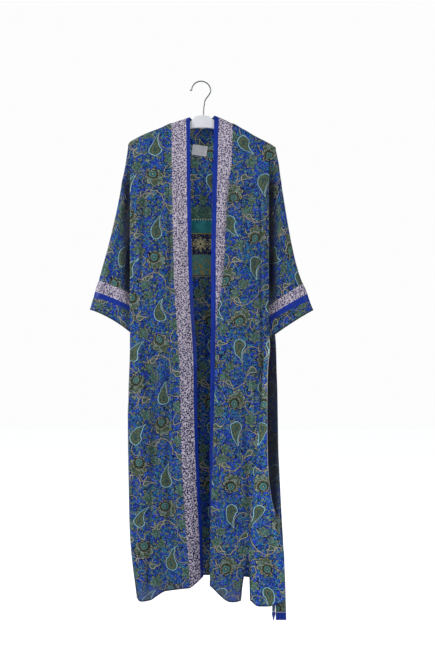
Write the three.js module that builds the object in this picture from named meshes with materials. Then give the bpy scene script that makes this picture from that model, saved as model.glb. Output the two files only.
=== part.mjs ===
// A long open kimono of printed silk, hung on a flat plastic hanger with a wire hook.
// Millimetres, +Z up, +X to the viewer's right, the wearer's front faces -Y.
// The origin is the inner top of the hook, where it rests on a rail.
import * as THREE from 'three';

// ---------- driving dimensions ----------
const WALL = 1.2; // cloth wall
const SEAM = 0.3; // gap left between pieces that are sewn together
const BLUE_W = 13; // plain edge strip of the front band
const PRINT_W = 39; // printed strip of the front band
const BAND_W = BLUE_W + PRINT_W;
const BASE_Z = -230; // below this height the body hangs straight down
const ARMPIT_Z = -470;
const SLIT_Z = -1331; // top of the two side slits
const EYE_X = 46, EYE_Z = -685, FULLER = 1 / 2600; // layers further back hang a little wider and longer

const HOOK_R = 25, WIRE_R = 1.75;
const HANGER_T = 8; // hanger thickness
const HUB_TOP = -94.4;
const BELT_W = 30, BELT_T = 2;
const LABEL = { w: 42, h: 29, t: 1, x: -4, z: -192, tilt: -0.135 };

// ---------- small helpers ----------
const lerp = (a, b, t) => a + (b - a) * t;
const clamp = (v, a, b) => Math.min(b, Math.max(a, v));
const ease = (t) => { const c = clamp(t, 0, 1); return c * c * (3 - 2 * c); };

// A table is a list of named columns and rows, read smoothly (monotone cubic) by its first column.
function table(names, rows) {
  const sorted = [...rows].sort((a, b) => a[0] - b[0]);
  const xs = sorted.map((r) => r[0]);
  const cols = {};
  names.forEach((name, c) => {
    const ys = sorted.map((r) => r[c]);
    const d = xs.slice(1).map((x, i) => (ys[i + 1] - ys[i]) / (x - xs[i]));
    const m = ys.map((_, i) => {
      if (i === 0) return d[0];
      if (i === ys.length - 1) return d[d.length - 1];
      return d[i - 1] * d[i] <= 0 ? 0 : (2 * d[i - 1] * d[i]) / (d[i - 1] + d[i]);
    });
    cols[name] = (x) => {
      if (x <= xs[0]) return ys[0];
      if (x >= xs[xs.length - 1]) return ys[ys.length - 1];
      let i = 0;
      while (x > xs[i + 1]) i++;
      const h = xs[i + 1] - xs[i], t = (x - xs[i]) / h;
      return (2 * t ** 3 - 3 * t * t + 1) * ys[i] + (t ** 3 - 2 * t * t + t) * h * m[i]
        + (3 * t * t - 2 * t ** 3) * ys[i + 1] + (t ** 3 - t * t) * h * m[i + 1];
    };
  });
  return cols;
}

// ---------- the cut and the hang, by height ----------
// Outline of each half: distance out from the centre line and height of the shoulder fold.
const SHOULDER = {
  r: table(['out', 'z'], [[20, -97], [31, -99], [45, -104], [73, -112.6], [101, -124], [129, -135], [157, -146], [185, -160], [199, -168.6], [204, -176]]),
  l: table(['out', 'z'], [[30, -93], [37, -94.5], [67, -107], [95, -121], [123, -135], [151, -151.8], [179, -165.8], [199, -177], [209, -184]]),
};
// Outer fold of the sleeve and shoulder tip.
const OUTER = {
  r: table(['z', 'out'], [[-176, 204], [-193, 205.6], [-208, 207], [-230, 211], [-292, 223], [-342, 232], [-454, 258], [-544, 283], [-633, 308], [-638, 311]]),
  l: table(['z', 'out'], [[-184, 209], [-196, 213.5], [-213, 216], [-230, 217.5], [-275, 223], [-320, 230], [-432, 249], [-521, 269], [-589, 294], [-633, 311], [-639, 314]]),
};
// Front band: its inner edge, how far it turns back at the edge (degrees) and, for the left
// front, how far the panel's fold laps over it.
const BAND = {
  r: table(['z', 'inner', 'turn'], [[-99, 31, 0], [-129, 30.8, 0], [-230, 30, 3], [-339, 28.8, 8], [-524, 25, 10], [-611, 22, 14], [-695, 16.5, 18], [-782, 12, 22], [-933, 10.5, 28], [-1109, 4.5, 26], [-1283, -3.5, 38], [-1339, -4.2, 46], [-1450, -6, 52]]),
  l: table(['z', 'inner', 'turn', 'lap'], [[-94, 37.5, 0, 0], [-129, 36.4, 0, 0], [-174, 35, 0, 1], [-260, 32.6, 0, 6], [-339, 30.8, 0, 9], [-524, 28, 0, 17], [-611, 28, 0, 27], [-667, 28, 0, 36], [-737, 26.6, 0, 38], [-891, 26, 0, 41], [-1109, 24.6, 0, 46], [-1283, 24.4, 0, 51], [-1450, 24.4, 0, 52]]),
};
// How far the cloth stands in front of and behind the hanger.
const DEPTH = table(['z', 'front', 'back'], [[-90, -9, 9], [-170, -10, 11], [-230, -13, 15], [-300, -19, 20], [-455, -27, 27], [-700, -30, 30], [-1000, -31, 31], [-1450, -32, 32]]);
// Side folds above the armpit: ridge, valley and the layers' depths.
const ARM = {
  r: table(['z', 'ridge', 'valley', 'top', 'back', 'out'], [[-230, 199, 191.5, 18, 13.6, 9], [-260, 199, 186, 21, 15.5, 10], [-292, 199, 178, 24, 17.5, 10.5], [-342, 199, 166, 27, 20, 11], [-385, 199, 158, 28.5, 21, 11.5], [-430, 199, 152, 29.5, 22, 12], [-470, 199, 150, 30, 22, 12]]),
  l: table(['z', 'ridge', 'valley', 'top', 'back', 'out'], [[-230, 190, 183, 18, 13.6, 9], [-260, 190, 178, 21, 15.5, 10], [-292, 190, 171, 24, 17.5, 10.5], [-342, 190, 162, 27, 20, 11], [-385, 190, 156, 28.5, 21, 11.5], [-430, 190, 151, 29.5, 22, 12], [-470, 190, 150, 30, 22, 12]]),
};
// Side of the body below the armpit: six corners, each (out, depth), from the front ridge round
// the tuck to the back ridge, and where the side seam runs among them.
const SIDE_COLS = ['z', 'o1', 'y1', 'o2', 'y2', 'o3', 'y3', 'o4', 'y4', 'o5', 'y5', 'o6', 'y6', 'seam'];
const SIDE = {
  r: table(SIDE_COLS, [
    [-470, 199, -30, 199, -22, 150, -22, 150, 22, 199, 22, 199, 30, 3.5],
    [-740, 199, -30, 199, -22, 152, -22, 152, 22, 199, 22, 199, 30, 3.5],
    [-795, 200, -30, 201, -22, 172, -19, 172, 18, 201, 22, 200, 30, 3.2],
    [-850, 201, -30, 203, -22, 196, -11, 196, 9, 203, 21, 201, 30, 2.5],
    [-930, 202, -30, 204, -22, 205, -9, 205, 8, 204, 21, 202, 30, 2],
    [-1100, 199, -31, 202, -23, 203, -9, 203, 8, 202, 21, 199, 31, 2],
    [-1250, 196, -31, 199, -23, 200, -9, 200, 8, 199, 21, 196, 31, 2],
    [-1331, 190, -32, 193, -24, 194, -9, 194, 8, 193, 21, 190, 31, 2],
    [-1450, 174, -33, 178, -25, 180, -9, 180, 8, 179, 21, 176, 32, 2]]),
  l: table(SIDE_COLS, [
    [-470, 190, -30, 190, -22, 150, -22, 150, 22, 200, 22, 200, 30, 3.5],
    [-600, 190, -30, 190, -22, 150, -22, 150, 22, 200, 22, 200, 30, 3.5],
    [-640, 190, -30, 190, -22, 150, -22, 150, 22, 202, 22, 202, 30, 2.5],
    [-690, 191, -30, 191, -22, 150, -22, 150, 22, 206, 22, 206, 30, 1.2],
    [-740, 193, -30, 193, -22, 151, -22, 151, 20, 210, 20, 210, 30, -14],
    [-795, 188, -30, 188, -22, 160, -21, 160, 8, 212, 12, 212, 30, -13],
    [-850, 186, -30, 186, -22, 163, -20, 163, -11, 213, -4, 213, 30, -15],
    [-930, 186, -30, 186, -22, 165, -20, 165, -12, 214.5, -8, 214.5, 30, -21],
    [-1020, 187, -30, 187, -22, 167, -20, 167, -12, 216, -8, 216, 31, -29],
    [-1100, 189.5, -30, 189.5, -22, 171, -20, 171, -12, 218, -8, 218, 31, -38],
    [-1160, 197, -31, 197, -22, 183, -20, 183, -12, 219, -8, 219, 31, -50],
    [-1215, 208, -31, 208, -22, 201, -20, 201, -12, 220, -8, 220, 31, -65],
    [-1270, 218, -31, 222.5, -25, 223.5, -18, 223.5, -10, 223.5, 6, 221, 31, -79],
    [-1331, 227, -31, 232, -26, 233, -18, 233, -8, 233, 8, 230, 32, -93],
    [-1450, 228, -32, 233.5, -27, 234.5, -18, 234.5, -8, 234.5, 9, 231, 33, -96]]),
};
// Height of the hem by distance from the centre line, and of the back's hem from the
// left side (negative) to the right side.
const HEM = {
  r: table(['out', 'z'], [[-6, -1385], [12, -1403], [25, -1414], [40, -1422], [74, -1422], [94, -1425], [108, -1430], [125, -1441], [142, -1452], [168, -1456], [179, -1449]]),
  l: table(['out', 'z'], [[24, -1411], [41, -1426], [55, -1441], [70, -1453], [84, -1458], [98, -1457], [118, -1452], [141, -1452], [153, -1466], [171, -1471], [195, -1468], [233, -1458]]),
  back: table(['x', 'z'], [[-180, -1425], [-150, -1396], [-60, -1382], [60, -1381], [140, -1388], [190, -1410], [231, -1440]]),
};
// Opening of the slits: how far each edge moves from the seam.
const SLIT = table(['z', 'frontL', 'backL', 'both'], [[-1331, 0, 0, 0], [-1390, -14, 2.5, 1.5], [-1452, -20, 5, 4]]);
// Long soft folds that run down the panels: position at the top and at the hem, height and width.
const FOLDS_COLS = ['x0', 'z0', 'x1', 'height', 'width'];
const FOLDS = {
  front: [[-168, -420, -160, -5.5, 15], [-118, -620, -128, -4.5, 13], [-92, -300, -70, 3.2, 20], [-140, -900, -100, 4, 13],
    [112, -260, 96, -5, 17], [150, -420, 152, -5, 12], [70, -700, 60, -3.5, 12], [131, -820, 190, 3.6, 13]],
  back: [[-120, -300, -140, 5, 20], [-40, -420, -55, 6, 22], [45, -260, 40, 5.5, 20], [120, -400, 130, 6, 22], [0, -700, -5, -4, 16], [85, -800, 90, -4, 15]],
};
const folds = (list, x, z) => list.reduce((sum, row) => {
  const [x0, z0, x1, height, width] = row;
  const t = clamp((z0 - z) / (z0 + 1440), 0, 1);
  return sum + height * ease(t * 2.6) * Math.exp(-(((x - lerp(x0, x1, t)) / width) ** 2));
}, 0);

// ---------- paths: rounded polygons in plan ----------
// Corners are [out, depth, radius]; the result is a fine polyline with the length at each corner.
function rounded(corners) {
  const pts = [corners[0].slice(0, 2)], at = [0];
  const dist = (a, b) => Math.hypot(a[0] - b[0], a[1] - b[1]);
  for (let i = 1; i < corners.length - 1; i++) {
    const [a, b, c] = [corners[i - 1], corners[i], corners[i + 1]];
    const la = dist(a, b), lc = dist(b, c);
    const cos = clamp(((b[0] - a[0]) * (c[0] - b[0]) + (b[1] - a[1]) * (c[1] - b[1])) / (la * lc), -1, 1);
    const t = Math.min(b[2] * Math.max(Math.tan(Math.acos(cos) / 2), 0.05), 0.49 * la, 0.49 * lc);
    const s = [lerp(b[0], a[0], t / la), lerp(b[1], a[1], t / la)];
    const e = [lerp(b[0], c[0], t / lc), lerp(b[1], c[1], t / lc)];
    for (let k = 0; k <= 8; k++) {
      const u = k / 8;
      pts.push([(1 - u) ** 2 * s[0] + 2 * u * (1 - u) * b[0] + u * u * e[0], (1 - u) ** 2 * s[1] + 2 * u * (1 - u) * b[1] + u * u * e[1]]);
    }
    at.push(pts.length - 5);
  }
  pts.push(corners[corners.length - 1].slice(0, 2));
  at.push(pts.length - 1);
  const s = [0];
  for (let i = 1; i < pts.length; i++) s.push(s[i - 1] + dist(pts[i - 1], pts[i]));
  return { pts, s, corner: at.map((i) => s[i]), length: s[s.length - 1] };
}
const onPath = (p, s) => {
  let i = 0;
  while (i < p.s.length - 2 && s > p.s[i + 1]) i++;
  const t = clamp((s - p.s[i]) / (p.s[i + 1] - p.s[i]), 0, 1);
  return [lerp(p.pts[i][0], p.pts[i + 1][0], t), lerp(p.pts[i][1], p.pts[i + 1][1], t)];
};
// Lengths for n+1 points from a to b along the path, closer together where it bends.
function spread(p, a, b, n, bend) {
  const steps = 240, weight = [0];
  const dir = (s) => { const q = onPath(p, s - 0.7), r = onPath(p, s + 0.7); return Math.atan2(r[1] - q[1], r[0] - q[0]); };
  for (let k = 1; k <= steps; k++) {
    const s0 = lerp(a, b, (k - 1) / steps), s1 = lerp(a, b, k / steps);
    let turn = Math.abs(dir(s1) - dir(s0));
    if (turn > Math.PI) turn = 2 * Math.PI - turn;
    weight.push(weight[k - 1] + Math.abs(s1 - s0) + bend * turn);
  }
  const out = [];
  for (let j = 0, k = 0; j <= n; j++) {
    const want = (weight[steps] * j) / n;
    while (k < steps - 1 && weight[k + 1] < want) k++;
    const t = clamp((want - weight[k]) / (weight[k + 1] - weight[k] || 1), 0, 1);
    out.push(lerp(a, b, (k + t) / steps));
  }
  return out;
}

// ---------- sheets ----------
const place = (p) => [EYE_X + (p[0] - EYE_X) * (1 + p[1] * FULLER), p[1], EYE_Z + (p[2] - EYE_Z) * (1 + p[1] * FULLER)];
const sub = (a, b) => [a[0] - b[0], a[1] - b[1], a[2] - b[2]];
const add = (a, b, k = 1) => [a[0] + b[0] * k, a[1] + b[1] * k, a[2] + b[2] * k];
const cross = (a, b) => [a[1] * b[2] - a[2] * b[1], a[2] * b[0] - a[0] * b[2], a[0] * b[1] - a[1] * b[0]];
const unit = (a) => { const l = Math.hypot(...a) || 1; return [a[0] / l, a[1] / l, a[2] / l]; };

// Normals of a grid of points (rows up, columns across); flat(i, j) marks a fold line whose
// normal lies across the hanger's plane.
function normals(grid, flat = () => false, wrap = false) {
  const R = grid.length;
  return grid.map((row, i) => row.map((p, j) => {
    if (!p) return null;
    const C = row.length;
    const west = wrap ? row[(j - 1 + C) % C] : row[j - 1], east = wrap ? row[(j + 1) % C] : row[j + 1];
    const south = i > 0 ? grid[i - 1][j] : null, north = i < R - 1 ? grid[i + 1][j] : null;
    let n = unit(cross(sub(east || p, west || p), sub(north || p, south || p)));
    if (flat(i, j)) n = unit([n[0], 0, n[2]]);
    return n;
  }));
}

// A closed wall of cloth over the cells of a grid: keep(i, j) tells which cells belong to it,
// and trim(i, j) how far an edge point moves along [row step, column step] to leave the seam.
function cloth(grid, norm, keep, { wrap = false, trim = () => null, wall = WALL } = {}) {
  const R = grid.length, C = grid[0].length;
  const pos = [], idx = [], seen = new Map(), edges = new Map();
  const jj = (j) => (wrap ? (j + C) % C : j);
  const vert = (i, j, side) => {
    const key = `${i},${jj(j)},${side}`;
    if (!seen.has(key)) {
      let p = grid[i][jj(j)];
      const t = trim(i, jj(j));
      if (t) for (const [di, dj, d] of t) {
        const q = (grid[i + di] || [])[jj(j + dj)];
        if (q) p = add(p, unit(sub(q, grid[i][jj(j)])), d);
      }
      const n = norm[i][jj(j)];
      seen.set(key, pos.length / 3);
      pos.push(...place(add(p, n, (side * wall) / 2)));
    }
    return seen.get(key);
  };
  const edge = (a, b) => {
    const back = `${b}|${a}`;
    if (edges.has(back)) edges.delete(back); else edges.set(`${a}|${b}`, [a, b]);
  };
  for (let i = 0; i < R - 1; i++) for (let j = 0; j < (wrap ? C : C - 1); j++) {
    if (!keep(i, j)) continue;
    const q = [[i, j], [i, j + 1], [i + 1, j + 1], [i + 1, j]];
    const d = (m, n) => Math.hypot(...sub(grid[q[m][0]][jj(q[m][1])], grid[q[n][0]][jj(q[n][1])]));
    const tris = d(0, 2) <= d(1, 3) ? [[0, 1, 2], [0, 2, 3]] : [[0, 1, 3], [1, 2, 3]];
    for (const t of tris) {
      const f = t.map((k) => vert(q[k][0], q[k][1], 1)), b = t.map((k) => vert(q[k][0], q[k][1], -1));
      idx.push(f[0], f[1], f[2], b[2], b[1], b[0]);
    }
    for (let k = 0; k < 4; k++) {
      const a = q[k], b = q[(k + 1) % 4];
      edge(`${a[0]},${jj(a[1])}`, `${b[0]},${jj(b[1])}`);
    }
  }
  for (const [a, b] of edges.values()) {
    const [ai, aj] = a.split(',').map(Number), [bi, bj] = b.split(',').map(Number);
    const a1 = vert(ai, aj, 1), b1 = vert(bi, bj, 1), a0 = vert(ai, aj, -1), b0 = vert(bi, bj, -1);
    idx.push(a1, a0, b0, a1, b0, b1);
  }
  return solid(pos, idx);
}
function solid(pos, idx) {
  const g = new THREE.BufferGeometry();
  g.setAttribute('position', new THREE.Float32BufferAttribute(pos, 3));
  let v = 0;
  for (let k = 0; k < idx.length; k += 3) {
    const [a, b, c] = [0, 1, 2].map((m) => pos.slice(idx[k + m] * 3, idx[k + m] * 3 + 3));
    v += a[0] * (b[1] * c[2] - b[2] * c[1]) - a[1] * (b[0] * c[2] - b[2] * c[0]) + a[2] * (b[0] * c[1] - b[1] * c[0]);
  }
  if (v < 0) for (let k = 0; k < idx.length; k += 3) [idx[k + 1], idx[k + 2]] = [idx[k + 2], idx[k + 1]];
  g.setIndex(idx);
  g.computeVertexNormals();
  return g;
}

// ---------- rows of the body ----------
// Rows up to BASE_Z are level; the hem rows bend to the hem and the top rows to the shoulder.
const HEM_ROWS = [1, 0.62, 0.28];
const LEVEL = [SLIT_Z, -1270, -1215, -1160, -1100, -1020, -930, -850, -795, -740, -690, -640, -600, -535, ARMPIT_Z, -430, -385, -342, -303, -292, -260, BASE_Z];
const TOP_ROWS = [0.35, 0.68, 0.88, 0.96, 1];
const ROLL = [1, 1, 0.9, 0.62, 0];
const ROWS = [...HEM_ROWS.map((h) => ({ hem: h })), ...LEVEL.map((z) => ({ z })), ...TOP_ROWS.map((f, k) => ({ top: f, roll: ROLL[k] }))];
const N_ARM = ROWS.findIndex((r) => r.z === ARMPIT_Z);
const N_CUFFTOP = ROWS.findIndex((r) => r.z === -292);
const N_BASE = ROWS.findIndex((r) => r.z === BASE_Z);
const nominal = (row) => (row.hem !== undefined ? lerp(SLIT_Z, -1450, row.hem) : row.z !== undefined ? row.z : BASE_Z);

const MAIN_N = { r: 6, l: 5 }, TAIL_N = 9, HEAD_N = 9, BACK_N = 14, SHEET_N = 5;

// Plan of one side at a height below BASE_Z: the path from the face of the front round to the
// back, and the length at which the seam (or, above the armpit, the valley) lies on it.
function sidePlan(s, z) {
  const start = 100;
  if (z > ARMPIT_Z + 1) {
    const a = ARM[s], ridge = a.ridge(z), valley = a.valley(z), top = a.top(z), back = a.back(z), out = a.out(z);
    const mid = (back + out) / 2, face = DEPTH.front(z);
    const front = rounded([[start, face, 0], [ridge, -top, 6], [ridge, -back, 6], [valley, -back, 6], [valley, -mid, 0]]);
    const rear = rounded([[valley, mid, 0], [valley, back, 6], [ridge + (s === 'l' ? 9 : 0), back, 6], [ridge + (s === 'l' ? 9 : 0), top, 6], [start, DEPTH.back(z), 0]]);
    const edge = OUTER[s].out(z), r = out * 0.95;
    const arm = (sign) => rounded([[valley, sign * mid, 0], [valley, sign * out, 5], [edge, sign * out, r], [edge, sign * SEAM / 2, 0]]);
    return { front, rear, armFront: arm(-1), armRear: arm(1) };
  }
  const t = SIDE[s];
  const c = [1, 2, 3, 4, 5, 6].map((k) => [t[`o${k}`](z), t[`y${k}`](z), 7]);
  const whole = rounded([[start, DEPTH.front(z), 0], ...c, [start, DEPTH.back(z), 0]]);
  const k = t.seam(z);
  const at = k < 1 ? whole.corner[1] + Math.min(k, 0) : lerp(whole.corner[Math.floor(k)], whole.corner[Math.floor(k) + 1], k - Math.floor(k));
  return { whole, at };
}

// Height of a point by its row: straight, bent to the hem or bent to the shoulder.
function heightOf(row, out, shoulder, hem) {
  if (row.hem !== undefined) return lerp(SLIT_Z, hem(out), row.hem);
  if (row.z !== undefined) return row.z;
  return lerp(BASE_Z, shoulder(out), row.top);
}

// Front of one half: columns from the inner edge of the band to the seam, then those of the
// drop shoulder. Points are [x, y, z] with x outward times the side's sign.
function frontGrid(s) {
  const sign = s === 'r' ? -1 : 1;
  const n = MAIN_N[s];
  const tip = s === 'r' ? 204 : 209;
  return ROWS.map((row, i) => {
    const zn = nominal(row);
    const f = row.top ?? 0;
    const zBand = row.top !== undefined ? lerp(BASE_Z, -110, f) : zn;
    const face = row.top !== undefined ? DEPTH.front(lerp(BASE_Z, -130, f)) : DEPTH.front(zn);
    const inner = BAND[s].inner(zBand);
    const pts = []; // [out, y, kind]
    // band and, on the left front, its lap
    let seamOut;
    if (s === 'r') {
      const turn = (BAND.r.turn(zBand) * Math.PI) / 180;
      const lens = [0, BLUE_W, BLUE_W + PRINT_W / 2, BAND_W];
      const width = BAND_W * Math.cos(turn * 0.86);
      lens.forEach((l) => {
        const u = 1 - l / BAND_W;
        pts.push([inner + width * (l / BAND_W) - width * 0.06 * Math.sin(Math.PI * l / BAND_W), face + BAND_W * Math.sin(turn) * (u * 0.6 + u * u * 0.4)]);
      });
      seamOut = inner + width;
      const far = 100;
      pts.push([lerp(seamOut, far, 0.5), face]);
      pts.push([far, face]);
    } else {
      const lap = BAND.l.lap(zBand), open = ease((lap - 1) / 6);
      const base = face + 8 * open;
      [0, BLUE_W, BLUE_W + PRINT_W / 2, BAND_W].forEach((l) => pts.push([inner + l, base]));
      seamOut = inner + BAND_W;
      const edge = seamOut - lap;
      const folded = rounded([[seamOut, base, 0], [seamOut + 3.2, base, 3], [seamOut + 3.2, base - 4, 3], [edge, base - 4, 3], [edge, base - 8, 3], [Math.max(edge, seamOut) + 14, base - 8, 0]]);
      const plain = rounded([[seamOut, base, 0], [seamOut + 24, base, 0]]);
      const a = spread(folded, 0, folded.length, 9, 9), b = spread(plain, 0, plain.length, 9, 0);
      for (let k = 1; k <= 9; k++) {
        const p = onPath(folded, a[k]), q = onPath(plain, b[k]);
        const m = [lerp(q[0], p[0], open), lerp(q[1], p[1], open)];
        pts.push(m);
      }
      pts.push([100 + (pts[pts.length - 1][0] - 100) * 0.3, face]);
    }
    const bandCount = pts.length;
    let tail, arm = null;
    if (row.top === undefined) {
      const plan = sidePlan(s, zn);
      if (plan.whole) {
        let end = plan.at;
        const slit = row.hem !== undefined ? (s === 'l' ? SLIT.frontL(zn) : -SLIT.both(zn)) : 0;
        const stop = end + slit;
        const ridge = Math.min(plan.whole.corner[1] - 16, stop - 14);
        const first = Math.max(ridge - 8, 8);
        tail = { path: plan.whole, from: first, to: stop };
      } else {
        tail = { path: plan.front, from: plan.front.corner[1] - 16, to: plan.front.length };
        arm = plan.armFront;
      }
    }
    if (tail) {
      const start = pts[bandCount - 1][0];
      for (let k = 1; k <= n; k++) {
        const l = lerp(Math.max(0, start - 100), tail.from, k / (n + 0.4));
        pts.push([...onPath(tail.path, l), l]);
      }
      const ls = spread(tail.path, tail.from, tail.to, TAIL_N, 16);
      for (let k = 1; k <= TAIL_N; k++) pts.push([...onPath(tail.path, ls[k]), ls[k]]);
      // soft folds, fading out before the ridge
      const stopAt = tail.path.corner[1];
      for (let k = 0; k < pts.length; k++) {
        const p = pts[k];
        const l = p[2] ?? -1;
        const fade = l < 0 ? 1 : 1 - ease((l - stopAt + 34) / 30);
        p[1] += folds(FOLDS.front, sign * p[0], zn) * fade;
      }
      if (arm) {
        const full = arm.length;
        let to = full;
        if (zn < -292) {
          // above the armpit the panel ends on the armhole seam
          const seamX = armhole(s, zn)[0];
          let m = full;
          while (m > 1 && onPath(arm, m)[0] > seamX - 1e-3) m -= 0.25;
          to = m;
        }
        const as = spread(arm, 0, to, SHEET_N, 12);
        for (let k = 1; k <= SHEET_N; k++) pts.push([...onPath(arm, as[k]), -2]);
      } else if (i === N_ARM) {
        // the armpit row carries the foot of the drop shoulder
        const a = armpitEdge(s, -1);
        for (let k = 1; k <= SHEET_N; k++) pts.push([...a[k], -2]);
      } else for (let k = 1; k <= SHEET_N; k++) pts.push(null);
      return pts.map((p) => p && [sign * p[0], p[1], heightOf(row, p[0], SHOULDER[s].z, HEM[s].z)]);
    }
    // top rows: from the plan at BASE_Z to columns spread along the shoulder
    const baseRow = frontBase(s);
    const g = Math.min(1, f * 1.12);
    const last = baseRow.length - 1;
    const flat = baseRow.map((p, k) => {
      if (k < 4) return pts[k];
      const from = pts[3][0];
      // arc share along the shoulder, close together near the tip
      const u = (k - 3) / (last - 3);
      const reach = lerp(from, tip, 1 - (1 - u) ** 1.45);
      return [reach, k === last ? -SEAM / 2 : face];
    });
    return baseRow.map((p, k) => {
      const q = k < 4 ? pts[k] : flat[k];
      const out = k < 4 ? q[0] : lerp(p[0], q[0], g);
      const y = k < 4 ? q[1] : lerp(p[1], q[1], g);
      const yy = Math.min(-SEAM / 2, y * row.roll);
      return [sign * out, yy, lerp(BASE_Z, SHOULDER[s].z(out), f)];
    });
  });
}
const baseCache = {};
function frontBase(s) {
  if (!baseCache[s]) {
    const sign = s === 'r' ? -1 : 1;
    const saved = ROWS.splice(0, ROWS.length, { z: BASE_Z });
    baseCache[s] = frontGrid(s)[0].map((p) => [sign * p[0], p[1]]);
    ROWS.splice(0, 1, ...saved);
  }
  return baseCache[s];
}

// Armhole seam: from the outer fold down to the foot of the drop shoulder.
function armhole(s, z) {
  const top = OUTER[s].out(-303) - 7, foot = ARM[s].valley(ARMPIT_Z) + 20;
  return [lerp(top, foot, (-303 - z) / (-303 - ARMPIT_Z)), 0];
}
function armpitEdge(s, sign) {
  const v = ARM[s].valley(ARMPIT_Z);
  const p = rounded([[v, sign * 17, 0], [v, sign * 12, 5], [v + 20, sign * 12, 0]]);
  return spread(p, 0, p.length, SHEET_N, 6).map((l) => onPath(p, l));
}

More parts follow.
